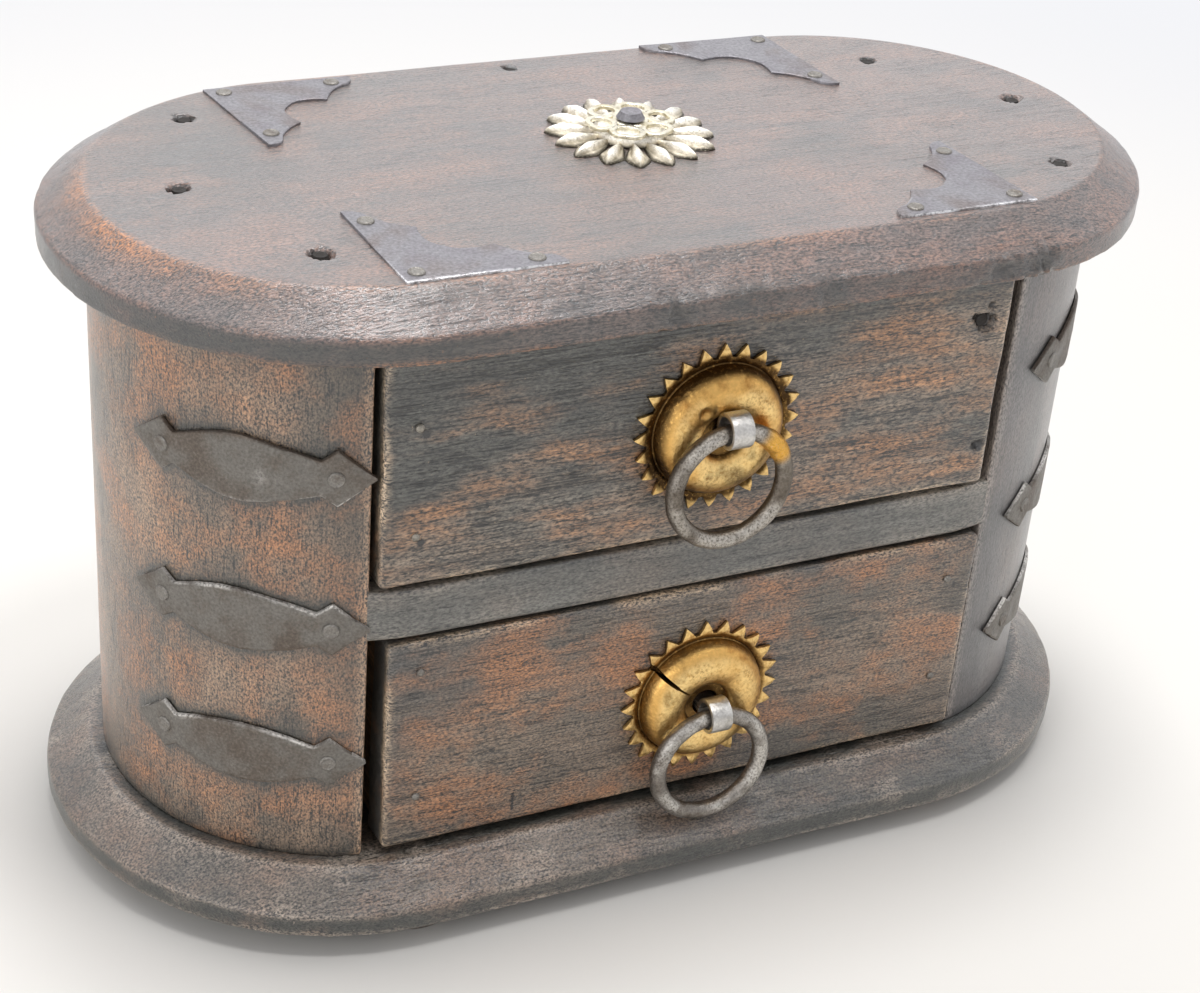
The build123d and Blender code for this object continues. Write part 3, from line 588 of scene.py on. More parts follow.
def escutcheon(centre, back_y, dents, split):
    """Grid of angle and reach; dents sink round spots and the split opens a thin radial gap."""
    turn = np.linspace(0, 2 * math.pi, tooth_count * 20, endpoint=False)
    wave = np.clip(1.28 * np.abs(((turn * tooth_count / (2 * math.pi)) % 1) * 2 - 1) - 0.28, 0, 1)
    edge = rim_r + (tip_r - rim_r) * wave + 0.25 * np.sin(5 * turn) * wave
    inner = np.concatenate([np.linspace(hole_r, recess_r, 4), np.linspace(recess_r, dome_r, 34)[1:],
                            [dome_r + 0.25, dome_r + 0.6, rim_r - 0.5, rim_r]])
    outer = np.linspace(0, 1, 7)[1:]
    reach = np.concatenate([np.broadcast_to(inner, (len(turn), len(inner))),
                            rim_r + (edge - rim_r)[:, None] * outer], 1)
    height = dome_height(reach)
    groove = np.exp(-((reach - dome_r - 0.3) / 0.35) ** 2) * 0.45
    tooth = np.clip((reach - rim_r + 0.4) / (tip_r - rim_r), 0, 1)
    height = height - groove + 0.45 * wave[:, None] * np.sin(math.pi * tooth) ** 0.7
    across, up = reach * np.cos(turn)[:, None], reach * np.sin(turn)[:, None]
    for x, z, radius, depth in dents:
        height = height - depth * np.exp(-((across - x) ** 2 + (up - z) ** 2) / radius ** 2)
    if split:
        angle, start = split
        off = np.abs((turn - angle + math.pi) % (2 * math.pi) - math.pi)[:, None] * reach
        gap = 0.12 + 0.5 * np.clip((reach - start) / (tip_r - start), 0, 1)
        height = np.where((off < gap) & (reach > start), np.minimum(height, 0.15), height)
    reach = np.concatenate([reach, reach[:, -1:], reach[:, :1]], 1)
    height = np.concatenate([height, 0 * height[:, :1], 0 * height[:, :1]], 1)
    x = centre[0] + reach * np.cos(turn)[:, None]
    z = centre[1] + reach * np.sin(turn)[:, None]
    points = np.stack([x, back_y - height, z], 2)
    return points.reshape(-1, 3), grid_quads(*x.shape, close_rows=True, close_columns=True)


print("crest of the dome:", dome_height(np.array([crest_r])), "mm above its back")

# %% [markdown]
# Polish keeps the crest and the teeth bright; tarnish stays in the groove, round the staple and in spots. The
# upper escutcheon has darkened more. The lower one has split from its rim towards the middle.

# %% Tarnish on the brass
def escutcheon_marks(centre, back_y, seed, age):
    """Ramps of the distance from the middle and of the height, broken up by the uneven field."""
    def marks(points):
        across, up = points[:, 0] - centre[0], points[:, 2] - centre[1]
        reach = np.hypot(across, up)
        height = back_y - points[:, 1]
        patch = rough(points, 7.0, seed)
        tooth = ramp(reach, rim_r - 0.5 + 0.8 * age, rim_r + 0.3 + 1.0 * age)
        band = (0.7 + 0.2 * age) * ramp(reach, dome_r - 1.2 - age, dome_r - 0.3) * (1 - tooth)
        band = band * (1 - 0.35 * ramp(patch, 0.2, 0.6))
        centre_dirt = ramp(-reach, -recess_r - 1.2, -recess_r - 0.2)
        stain = (0.45 + 0.4 * age) * ramp(patch, 0.25 - 0.15 * age, 0.6) * (1 - tooth)
        wear = ramp(height, crest_h - 1.4, crest_h - 0.1) * ramp(patch, -0.5, 0.3) + 0.7 * tooth
        return {"wear": wear, "grime": np.where(height < 0.4, 1.0, band + 0.8 * centre_dirt + stain)}
    return marks


# Dents: place from the middle, radius and depth. Split: its angle and the reach at which it starts.
pull_centres = {}
for level, seed, age, dents, split in (
    ("upper", 105, 1.0, ((-5.7, 6.5, 1.2, 1.1), (7.5, 2.0, 2.0, 0.4)), None),
    ("lower", 117, 0.0, ((6.0, 5.5, 2.2, 0.4),), (math.radians(141), 6.5)),
):
    low, high = box_mm(f"{level}_escutcheon")
    centre = ((low[0] + high[0]) / 2, (low[2] + high[2]) / 2)
    pull_centres[level] = (centre[0], high[1], centre[1])
    dress(f"aged_{level}_escutcheon", escutcheon(centre, high[1], dents, split), f"{level}_drawer",
          [f"{level}_escutcheon"], escutcheon_marks(centre, high[1], seed, age), 35)

# %% [markdown]
# The rings are wire, forged round by hand, so their thickness varies and the skin is pitted. The ends of the
# upper ring's wire meet in a lump of yellow braze. A round profile is carried along a circle, and each point
# is then moved a little away from the wire's middle line or towards it.

# %% Ring pulls
def swept(path, side, closed, profile, scale):
    """A closed profile carried along a path; side is the normal of the path's plane."""
    step = (np.roll(path, -1, 0) - np.roll(path, 1, 0)) if closed else np.gradient(path, axis=0)
    ahead = step / np.linalg.norm(step, axis=1)[:, None]
    out = np.cross(ahead, side)
    points = (path[:, None] + profile[None, :, 0, None] * side * scale[:, None, None]
              + profile[None, :, 1, None] * out[:, None] * scale[:, None, None])
    return points.reshape(-1, 3), grid_quads(len(path), len(profile), closed, True)


braze_spot = np.array([9.7, 0, 8.7])


def ring_marks(middle, seed, brazed):
    """Bright where a finger rubs the front; a braze patch shows where the ends of the wire meet."""
    def marks(points):
        front = ramp(middle[1] - points[:, 1], 0.2, 1.8)
        braze = brazed * ramp(-np.linalg.norm(points - middle - braze_spot, axis=1), -5.5, -3.0)
        return {"wear": front * ramp(rough(points, 5, seed + 7), -0.4, 0.4), "grime": braze}
    return marks


ring_tops = {}
for level, seed, brazed in (("upper", 131, 1.0), ("lower", 143, 0.0)):
    low, high = box_mm(f"{level}_ring")
    middle = (low + high) / 2
    wire = (high[1] - low[1]) / 2
    radius = (high[2] - low[2]) / 2 - wire
    ring_tops[level] = high[2] - wire
    turn = np.linspace(0, 2 * math.pi, 144, endpoint=False)
    path = middle + radius * np.stack([np.cos(turn), 0 * turn, np.sin(turn)], 1)
    turn = np.linspace(0, 2 * math.pi, 28, endpoint=False)
    profile = wire * np.stack([np.cos(turn), np.sin(turn)], 1)
    forged = 0.97 + 0.03 * np.clip(rough(path, 7, seed), -1, 1)
    points, quads = swept(path, np.array([0.0, 1.0, 0.0]), True, profile, forged)
    pit = np.minimum(rough(points, 1.6, seed + 4) * 0.16 - 0.02, 0)
    seam = brazed * ramp(-np.linalg.norm(points - middle - braze_spot, axis=1), -5.0, -3.0)
    pit = pit + seam * (0.25 + 0.35 * rough(points, 2.2, seed + 8))
    spine = np.repeat(path, len(profile), 0)
    away = points - spine
    points = points + away / np.linalg.norm(away, axis=1)[:, None] * pit[:, None]
    dress(f"forged_{level}_ring", (points, quads), f"{level}_ring_pull", [f"{level}_ring"],
          ring_marks(middle, seed, brazed), 80)

# %% [markdown]
# A staple is a steel strip bent round to an eye. Both its legs are pushed through the escutcheon and the drawer
# front, and clenched flat inside. Its path is drawn in one plane: out of one leg, round the eye, back along the
# other. At the two ends the profile shrinks to a point, which closes the strip.

# %% Staples
along_x = np.array([1.0, 0.0, 0.0])
gauge, clench, eye_outer = 1.0, 9.0, 4.0
eye_r, leg = eye_outer - gauge / 2, gauge / 2 + 0.1
closing_step = 0.001
for level, ring_top in ring_tops.items():
    low, high = box_mm(f"{level}_staple")
    strip = (high[0] - low[0]) / 2
    pull_x, face_y, pull_z = pull_centres[level]
    bend = np.array([face_y - recess_h, pull_z])
    eye = np.array([low[1] + eye_outer, ring_top + 0.5])
    back = (bend - eye) / np.linalg.norm(bend - eye)
    up = np.array([-back[1], back[0]])
    gap_turn = math.asin(leg / eye_r)
    turn = np.linspace(gap_turn, 2 * math.pi - gap_turn, 60)[:, None]
    loop = eye + eye_r * (np.cos(turn) * back + np.sin(turn) * up)
    clench_y = high[1] - gauge / 2
    tails = []
    for way, end in ((1, loop[0]), (-1, loop[-1])):
        corners = [(clench_y, pull_z + way * (clench - gauge / 2)), (clench_y, pull_z + way * leg),
                   (bend[0], pull_z + way * leg), end]
        tails.append(even(soften(corners, (0.55, 0.8)), 1.0))
    path = np.concatenate([tails[0][:-1], loop, tails[1][:-1][::-1]])
    path = np.concatenate([np.full((len(path), 1), pull_x), path], 1)
    path = np.concatenate([path[:1] + closing_step * (path[:1] - path[1:2]), path,
                           path[-1:] + closing_step * (path[-1:] - path[-2:-1])])
    scale = np.ones(len(path))
    scale[[0, -1]] = 0
    corners = np.array([(-1, -1), (1, -1), (1, 1), (-1, 1)]) * (strip, gauge / 2)
    profile = soften(np.concatenate([corners[-1:], corners, corners[:1]]), (0.25,) * 4, 3)[1:-1]
    dress(f"bent_{level}_staple", swept(path, along_x, False, profile, scale), f"{level}_drawer",
          [f"{level}_staple"], None, 50)

# %% [markdown]
# The straps are sheet iron, cut out, hammered and bent round the ends of the chest. A flat grid of places along
# and across the strap is wrapped on the round end: the place along it becomes an angle. The sheet's edge is
# rolled over, and each strap is held by two flat nails.

# %% Iron straps
def strap_place(frame, side, along, across, lift):
    """Point on the round end for a place on the strap, and the outward direction there."""
    turn = frame[0] + np.arcsin(along / carcass_radius)
    out = np.stack([side * np.cos(turn), -np.sin(turn), 0 * turn], -1)
    reach = np.asarray(carcass_radius + 0.03 + lift)[..., None]
    foot = np.stack([side * half_straight + 0 * turn, 0 * turn, frame[1] + across + along * frame[2]], -1)
    return foot + reach * out, out


def strap(frame, side, seed):
    """Grid of place along the strap and across it, wrapped on the round end."""
    along = np.sin(np.linspace(-math.pi / 2, math.pi / 2, 181))
    half = strap_half_height(along) + 0.25 * np.sin(7 * along + seed) * (np.abs(along) < 0.9)
    across = np.array([-1, -0.985, -0.95, -0.88, -0.7, -0.45, -0.2, 0, 0.2, 0.45, 0.7, 0.88, 0.95, 0.985, 1])
    rise = np.interp(np.abs(across), (0, 0.88, 0.95, 0.985, 1), (1, 1, 0.93, 0.7, 0.15))
    u = np.broadcast_to(along[:, None] * strap_half, (len(along), len(across)))
    v = half[:, None] * across
    flat = np.stack([u, v, 0 * u], 2).reshape(-1, 3)
    hammer = (rough(flat, 5, seed) * 0.14).reshape(u.shape)
    lift = np.clip(1.0 * rise + hammer * (rise > 0.9) - 0.12, 0.05, 0.98)

    top, under = [strap_place(frame, side, u, v, height)[0] for height in (lift, 0 * lift)]
    faces = [(sheet, grid_quads(*u.shape)) for sheet in (top, under)]
    for i in (0, -1):
        faces.append((np.stack([top[:, i], under[:, i]], 1), grid_quads(len(along), 2)))
        faces.append((np.stack([top[i], under[i]], 1), grid_quads(len(across), 2)))
    return stack(faces)


def strap_marks(frame, side, seed, lit_edge):
    """Ramps of the share across: a painted highlight along the lit edge and painted shade along the other, over
    patches of wear and dirt.
    """
    def marks(points):
        along, across, _ = strap_spot(points, frame, side)
        edge = lit_edge * across / np.maximum(strap_half_height(along / strap_half), 0.3)
        # Painted highlight on the lit edge; painted shade in the grime along the other edge.
        wear = ramp(edge, 0.9, 0.99) * ramp(rough(points, 4, seed + 5), -0.5, 0.1)
        return {"wear": wear + 0.4 * ramp(rough(points, 8, seed), 0.3, 0.8),
                "grime": 0.8 * ramp(-edge, 0.85, 1.0) + 0.8 * ramp(rough(points, 9, seed + 2), -0.1, 0.5)}
    return marks


flat_head = even(soften([(0, 0.34), (1.1, 0.30), (1.5, 0.46), (1.8, 0.2), (1.85, -0.5), (0, -0.5)],
                        (0.2, 0.12, 0.12, 0.05)), 0.4)
strap_nails = []
for seed, (label, side) in enumerate(strap_sides.items(), 160):
    place = strap_frames[label]
    # The lit edge, which gets the painted highlight: the lower one on the upper straps, the upper one on the
    # others.
    lit_edge = -1 if "upper" in label else 1
    dress(f"beaten_{label}", strap(place, side, seed), "chest", [label],
          strap_marks(place, side, seed, lit_edge), 30)
    for along in (-0.72 * strap_half, 0.72 * strap_half):
        seat, out = strap_place(place, side, np.array(along), 0.0, 0.85)
        strap_nails.append(lathe(flat_head, seat, out, 28))
dress("flat_strap_nails", stack(strap_nails), "chest", ["strap_nails"], None, 40)

# %% [markdown]
# Four thin iron plates lie on the top near its corners. Each fills the space between an L-shaped outer
# edge and a scalloped inner edge, so its surface is drawn between the two. Edges are rolled, and the rims of
# the front plates are painted bright as a highlight.

# %% Corner plates
def bow(first, middle, last, steps):
    """A parabola through three points."""
    t = np.linspace(0, 1, steps)[:, None]
    return (np.asarray(first) * (1 - t) * (1 - 2 * t) + np.asarray(middle) * 4 * t * (1 - t)
            + np.asarray(last) * t * (2 * t - 1))


plate_arm = 34.0
half_edge = np.concatenate([
    bow((1, 0), (0.985, 0.075), (0.93, 0.125), 10)[:-1],
    bow((0.93, 0.125), (0.80, 0.205), (0.69, 0.35), 18)[:-1],
    bow((0.69, 0.35), (0.516, 0.331), (0.40, 0.40), 16),
])
inner_edge = np.concatenate([half_edge, half_edge[:-1][::-1, ::-1]])
run = np.abs(np.linspace(-1, 1, len(inner_edge)))[:, None]
first_arm = (np.arange(len(run)) < len(run) / 2)[:, None]
outer_edge = run * np.where(first_arm, (1, 0), (0, 1))


def plate_spot(x_share, y_side, lean, along, across):
    """Plan place on a plate for shares along its two arms; its corner lies on the bevel's inner line."""
    corner_x = x_share * half_straight
    past = max(abs(corner_x) - half_straight, 0)
    corner_y = y_side * (math.sqrt((top_radius - bevel_run) ** 2 - past ** 2) - 0.4)
    return (corner_x - math.copysign(plate_arm, corner_x) * (along + lean * across),
            corner_y - y_side * plate_arm * across)


plate_rise = 0.5


def corner_plate(x_share, y_side, lean, seed):
    """Rows drawn from the outer edge to the inner edge, raised on a rolled rim."""
    weight = np.array([0, 0, 0.02, 0.05, 0.12, 0.3, 0.5, 0.7, 0.88, 0.95, 0.98, 1, 1])
    rise = np.full(len(weight), plate_rise)
    rise[[0, 1, 2, -3, -2, -1]] = (-0.6, 0.3, 0.46, 0.46, 0.3, -0.6)
    shares = outer_edge[:, None] * (1 - weight[:, None]) + inner_edge[:, None] * weight[:, None]
    x, y = plate_spot(x_share, y_side, lean, shares[..., 0], shares[..., 1])
    points = np.stack([x, y, np.broadcast_to(top_high[2] + rise, x.shape)], 2).reshape(-1, 3)
    points[:, 2] += np.clip(rough(points, 9, seed), -1, 1) * 0.1
    return points, grid_quads(len(inner_edge), len(weight), close_columns=True)


def plate_marks(seed):
    """Rims of the front plates painted bright as a highlight, the flat dull."""
    def marks(points):
        # Painted highlight: only the rims of the front plates are brightened.
        rim = ramp(top_high[2] - points[:, 2], -0.5, -0.36) * ramp(-points[:, 1], 40, 52)
        return {"wear": rim, "grime": 0.8 * ramp(rough(points, 7, seed + 1), -0.1, 0.5)}
    return marks


plate_nails = []
for label, x_share, y_side, lean, seed in (
    ("front_left", -1.11, -1, -0.035, 201), ("front_right", 1.19, -1, 0.105, 203),
    ("rear_left", -1.24, 1, 0.123, 205), ("rear_right", 1.03, 1, -0.07, 207),
):
    dress(f"beaten_{label}_corner_plate", corner_plate(x_share, y_side, lean, seed), "chest",
          [f"{label}_corner_plate"], plate_marks(seed), 40)
    for along, across in ((0.10, 0.10), (0.84, 0.09), (0.09, 0.83)):
        seat = (*plate_spot(x_share, y_side, lean, along, across), top_high[2] + plate_rise)
        plate_nails.append(lathe(flat_head, seat, up_axis, 28))
dress("flat_plate_nails", stack(plate_nails), "chest", ["corner_plate_nails"], None, 40)

# %% [markdown]
# The rosette on the top is cast brass. Its sixteen petals are each half of a pointed spindle with a shallow
# groove along its back, round a low hub. One grid of shares along and across serves every petal.

# %% Rosette petals
petal_low, petal_high = box_mm("rosette_petals")
rosette_x, rosette_y = (petal_low[:2] + petal_high[:2]) / 2
petal_count = 16
u, v = np.meshgrid(np.linspace(-1, 1, 25), np.linspace(-1, 1, 15), indexing="ij")
spread = np.clip((1 + u) / 1.4, 0, 1) ** 0.7 * np.clip((1 - u) / 0.7, 0, 1) ** 0.6
petal_lengths = np.random.default_rng(8).uniform(0.9, 1.0, petal_count)
petal_parts = []
for index in range(petal_count):
    angle = 2 * math.pi * (index + 0.2) / petal_count
    along = 6.1 + 13.8 * petal_lengths[index] * (u + 1) / 2
    across = 3.1 * spread * v
    ridge = 1 - np.abs(v) ** 1.3 - 0.25 * np.exp(-((np.abs(v) - 0.5) / 0.16) ** 2)
    height = 2.5 * spread ** 0.7 * np.clip(ridge, 0, 1)
    x = rosette_x + along * math.cos(angle) - across * math.sin(angle)
    y = rosette_y + along * math.sin(angle) + across * math.cos(angle)
    for rise in (height, 0 * height):
        petal_parts.append((np.stack([x, y, petal_low[2] + rise], 2), grid_quads(*u.shape)))
hub = even(soften([(0, 2.9), (7.4, 2.9), (8.6, 0), (0, 0)], (0.8, 0.3)), 1.0)
petal_parts.append(lathe(hub, (rosette_x, rosette_y, petal_low[2]), up_axis, 64))


def petal_marks(points):
    """Dark between the petals and at their feet, rubbed bright on their backs."""
    height = points[:, 2] - petal_low[2]
    return {"wear": ramp(height, 0.9, 1.8), "grime": 1 - ramp(height, 0.2, 0.9)}


dress("cast_rosette_petals", stack(petal_parts), "chest", ["rosette_petals"], petal_marks, 40)

# %% [markdown]
# A pierced flower of polished brass lies over the petals, and one nail holds both. Each of its six lobes is a
# band carried round a heart-shaped loop, so the wood and the petals show through.

# %% Rosette flower
flower_low = box_mm("rosette_flower")[0]
lobe_turn = np.linspace(0, 2 * math.pi, 48, endpoint=False)
band = soften([(-0.65, 0), (-0.65, 0.8), (0.65, 0.8), (0.65, 0), (-0.65, 0)], (0.25, 0.25, 0.05), 4)[:-1]
flower_parts = []
for index in range(6):
    angle = math.pi * index / 3
    heart = 1 - 0.16 * np.exp(-(((lobe_turn + math.pi) % (2 * math.pi) - math.pi) / 0.4) ** 2)
    reach = 2.95 * heart[:, None] + band[None, :, 0]
    along = 7.1 + reach * np.cos(lobe_turn)[:, None]
    across = 1.12 * reach * np.sin(lobe_turn)[:, None]
    x = rosette_x + along * math.cos(angle) - across * math.sin(angle)
    y = rosette_y + along * math.sin(angle) + across * math.cos(angle)
    z = np.broadcast_to(flower_low[2] + band[None, :, 1], x.shape)
    flower_parts.append((np.stack([x, y, z], 2), grid_quads(48, len(band), True, True)))
plate = even(soften([(0, 0.8), (3.9, 0.8), (4.4, 0), (0, 0)], (0.3, 0.2)), 0.8)
flower_parts.append(lathe(plate, (rosette_x, rosette_y, flower_low[2]), up_axis, 48))
dress("polished_rosette_flower", stack(flower_parts), "chest", ["rosette_flower"], None, 40)

# %% [markdown]
# Finishes are graphs of shader nodes. Colours are written as sRGB hex codes, as a paint program shows them,
# and one function turns them to the linear light that shaders reckon with. One function adds a node of any
# kind; the few kinds used often are kept as ready settings. Every pattern reads Object coordinates, so it stays
# on its piece when a drawer moves, and its scale comes from real sizes in millimetres.

# %% Colours and nodes
def linear(code):
    """sRGB hex to linear RGBA."""
    parts = [int(code[i:i + 2], 16) / 255 for i in (1, 3, 5)]
    return [c / 12.92 if c <= 0.04045 else ((c + 0.055) / 1.055) ** 2.4 for c in parts] + [1.0]


def fill(tree, node, inputs):
    """Link a node's inputs to other nodes, or set them to constants."""
    for key, value in inputs.items():
        if isinstance(value, bpy.types.NodeSocket):
            tree.links.new(value, node.inputs[key])
        else:
            node.inputs[key].default_value = value


def add(tree, inputs, kind, out=0, **settings):
    """Add a node of a kind, set its options and inputs, and return one of its outputs."""
    node = tree.nodes.new(kind)
    for key, value in settings.items():
        setattr(node, key, value)
    fill(tree, node, inputs)
    return node.outputs[out]


def blank(name):
    """A new material, its node tree and its Principled shader."""
    material = bpy.data.materials.new(name)
    material.use_nodes = True
    return material, material.node_tree, material.node_tree.nodes["Principled BSDF"]


EASE = {"kind": "ShaderNodeMapRange", "interpolation_type": "SMOOTHSTEP"}
MIX = {"kind": "ShaderNodeMix", "out": 2, "data_type": "RGBA"}
TIMES = {"kind": "ShaderNodeMath", "operation": "MULTIPLY"}
TIMES_PLUS = {"kind": "ShaderNodeMath", "operation": "MULTIPLY_ADD"}
LARGER = {"kind": "ShaderNodeMath", "operation": "MAXIMUM"}
noise_low, noise_high = 0.35, 0.65
print("mid grey in linear light:", round(linear("#808080")[0], 3))

# %% [markdown]
# Waxed hardwood. Years of smoke, wax and hands leave it near black in the pores and streaks, brown between
# them, and orange where the wax has rubbed through. The graph starts from seven fields of noise drawn out along
# the grain, picks shares of them for tones, dirt and painted shade, pores and cracks, and mixes colours by these
# shares. A coat stands for the wax, which gives a broad sheen at low angles.

# %% Waxed wood
def waxed_wood(name, grain, colours, amounts, sheen, seed, spots=(), patch_mm=(13.0, 26.0), fibre=2.0):
    """Colours: body, dim, dirt and painted shade, warm, rubbed. Amounts: of warmth, streaks, pores and cracks."""
    body, dim, dirt_and_shade, warm, rub = [linear(code) for code in colours]
    warm_amount, streak_amount, pore_amount, crack_amount = amounts
    material, tree, shader = blank(name)
    coords = add(tree, {}, "ShaderNodeTexCoord", "Object")
    wear, grime = [add(tree, {}, "ShaderNodeAttribute", "Fac", attribute_name=mark) for mark in ("wear", "grime")]

    # Each field: millimetres across and along the grain, detail and seed. Real pores are about 0.1 mm wide,
    # too fine for a render, so they are drawn four times as wide.
    fields = {}
    for label, across, along, detail, shift in (
        ("tone", 22.0, 50.0, 4, 0), ("patch", *patch_mm, 6, 9), ("streak", 1.3, 34.0, 5, 3),
        ("pores", 0.4, 4.0 * fibre, 2, 6), ("grit", 0.42, 0.45 * fibre, 3, 15), ("split", 2.4, 60.0, 3, 18),
        ("fleck", 0.9, 0.9, 2, 12),
    ):
        scale = [1 / (MM * (along if axis == grain else across)) for axis in range(3)]
        start = seed + shift
        place = add(tree, {"Vector": coords, "Scale": scale, "Location": (start, 0.7 * start, -start)},
                    "ShaderNodeMapping")
        fields[label] = add(tree, {"Vector": place, "Scale": 1.0, "Detail": detail, "Roughness": 0.6},
                            "ShaderNodeTexNoise", "Fac")

    shares = {}
    for label, field, start, end in (
        ("body", "tone", 0.34, 0.64), ("warm", "patch", 0.42, 0.66), ("dirty", "patch", 0.85, 0.45),
        ("rubbed", "grit", 0.3, 0.5), ("pore", "pores", 0.45, 0.37), ("open", "tone", 0.7, 0.44),
        ("dry", "patch", 0.5, 0.42), ("speck", "fleck", 0.70, 0.75),
    ):
        shares[label] = add(tree, {"Value": fields[field], "From Min": start, "From Max": end}, **EASE)

    colour = add(tree, {"Factor": shares["body"], "A": dim, "B": body}, **MIX)
    # The grime mark mixes in the dirt colour, which also paints shade on the boards' upright edges, round the
    # straps and on the blocks.
    for share, amount, tint in (("warm", warm_amount, warm), ("dirty", grime, dirt_and_shade), ("rubbed", wear, rub)):
        share = add(tree, {0: shares[share], 1: amount}, **TIMES)
        colour = add(tree, {"Factor": share, "A": colour, "B": tint}, **MIX)

    # Pores are dark lines. Cracks run where one field crosses its middle value.
    line = add(tree, {0: shares["pore"], 1: shares["open"]}, **TIMES)
    off = add(tree, {0: fields["split"], 1: 0.5}, "ShaderNodeMath", operation="SUBTRACT")
    off = add(tree, {0: off}, "ShaderNodeMath", operation="ABSOLUTE")
    crack = add(tree, {"Value": off, "From Min": 0.016, "From Max": 0.005}, **EASE)
    crack = add(tree, {0: crack, 1: shares["dry"]}, **TIMES)
    crack = add(tree, {0: crack, 1: crack_amount}, **TIMES)
    light = 1.0
    for field, amount in (("streak", streak_amount), ("grit", pore_amount)):
        swing = add(tree, {"Value": fields[field], "From Min": noise_low, "From Max": noise_high,
                           "To Min": 1 - amount, "To Max": 1 + amount}, "ShaderNodeMapRange")
        light = add(tree, {0: swing, 1: light}, **TIMES)
    light = add(tree, {0: line, 1: -0.8 * pore_amount, 2: light}, **TIMES_PLUS)
    light = add(tree, {0: light, 1: add(tree, {0: crack, 1: -0.8, 2: 1.0}, **TIMES_PLUS)}, **TIMES)
    colour = add(tree, {0: colour, "Scale": light}, "ShaderNodeVectorMath", operation="SCALE")
    share = add(tree, {0: shares["speck"], 1: 0.5 * pore_amount}, **TIMES)
    colour = add(tree, {"Factor": share, "A": colour, "B": rub}, **MIX)

    # Spots: ragged dark hollows where nails were driven or wood was lost.
    hollow = 0.0
    for place, radius in spots:
        size = radius * MM
        gap = add(tree, {0: coords, 1: [v * MM for v in place]}, "ShaderNodeVectorMath", "Value",
                  operation="DISTANCE")
        ragged = add(tree, {0: fields["fleck"], 1: 0.9 * size, 2: gap}, **TIMES_PLUS)
        sunk = add(tree, {"Value": ragged, "From Min": 1.75 * size, "From Max": 1.2 * size}, **EASE)
        hollow = add(tree, {0: sunk, 1: hollow}, **LARGER)
    if spots:
        colour = add(tree, {"Factor": hollow, "A": colour, "B": linear("#17110e")}, **MIX)

    dull = add(tree, {"Value": fields["grit"], "From Min": noise_low, "From Max": noise_high,
                      "To Min": 0.34, "To Max": 0.56}, "ShaderNodeMapRange")
    depth = add(tree, {0: line, 1: -1.0, 2: fields["grit"]}, **TIMES_PLUS)
    depth = add(tree, {0: add(tree, {0: crack, 1: hollow}, **LARGER), 1: -2.5, 2: depth}, **TIMES_PLUS)
    bump = add(tree, {"Strength": 0.42 * pore_amount, "Distance": 0.4 * MM, "Height": depth}, "ShaderNodeBump")
    fill(tree, shader, {"Base Color": colour, "Roughness": dull, "Specular IOR Level": 0.7, "Coat Weight": sheen,
                        "Coat Roughness": 0.3, "Coat IOR": 1.6, "Normal": bump, "Coat Normal": bump})
    return material


print("wood is ready to be made")

# %% [markdown]
# Each board was cut and handled apart, so each has its own wood: the top is the most waxed, the left block and
# the drawers are rubbed to orange, the divider and the right block stay grey and dark. Lists of spots give the
# nail holes and a short crack, as places in millimetres with a radius.

# %% Woods of the chest
X, Y, Z = 0, 1, 2
top_spots = [((x, y, top_high[2] - 1.0), 2.1) for x, y in top_nail_places]
upper_spots = (((65.8, -54.0, 128.8), 2.2), ((62.6, -54.3, 130.2), 0.9), ((66.5, -54.3, 132.6), 0.8),
               ((69.0, -54.2, 97.4), 1.4), ((-65.0, -54.5, 122.6), 1.0), ((-65.2, -54.5, 97.4), 0.9))
lower_spots = [((-40.6, -54.4, 22.9 + 0.7 * step), 0.4) for step in range(7)] + [((-63.0, -54.5, 72.0), 0.7)]
# The top: dark red-brown under thick wax, so it mirrors the pale room.
wood_top = waxed_wood("waxed_top_board_wood", X, ("#64524b", "#514946", "#34322d", "#7c5a4a", "#9c6438"),
                      (0.6, 0.12, 0.95, 0.6), 1.0, 1.0, top_spots)
# The base: greyer and gritty, rubbed pale in specks.
wood_base = waxed_wood("waxed_base_board_wood", X, ("#776a5e", "#5a544c", "#383934", "#80624e", "#b8a898"),
                       (0.5, 0.12, 0.95, 0.3), 0.8, 5.0, (), (11.0, 18.0), 1.4)
# The left block: the warmest wood, orange between dark patches.
wood_block = waxed_wood("waxed_left_upright_wood", Z, ("#8a7059", "#5f5447", "#38352d", "#a56e44", "#b8977a"),
                        (0.85, 0.06, 0.95, 0.0), 0.8, 9.0, (), (17.0, 14.0), 1.3)
# The right block: smooth and nearly black, seen by its reflections.
wood_far_block = waxed_wood("waxed_right_upright_wood", Z, ("#625d5d", "#4b494a", "#424142", "#705a4e", "#9f948b"),
                            (0.4, 0.2, 0.7, 0.0), 0.9, 11.0)
# The back: plain brown board, less handled.
wood_back = waxed_wood("waxed_back_panel_wood", X, ("#75614f", "#574c42", "#48413a", "#84614a", "#a58465"),
                       (0.4, 0.3, 0.6, 0.4), 0.8, 12.0)
# The upper drawer: long dark fibres and cracks over orange.
wood_drawer = waxed_wood("waxed_drawer_wood", X, ("#807060", "#595750", "#474742", "#a07048", "#c6ad90"),
                         (0.8, 0.3, 0.95, 1.0), 0.7, 13.0, upper_spots, (10.0, 30.0), 2.4)
# The lower drawer: shorter blotches, more orange.
wood_low_drawer = waxed_wood("waxed_lower_drawer_wood", X, ("#7d6a58", "#5c5449", "#424240", "#a26c42", "#c6ad90"),
                             (0.85, 0.2, 0.85, 0.8), 0.7, 14.0, lower_spots, (12.0, 19.0), 1.7)
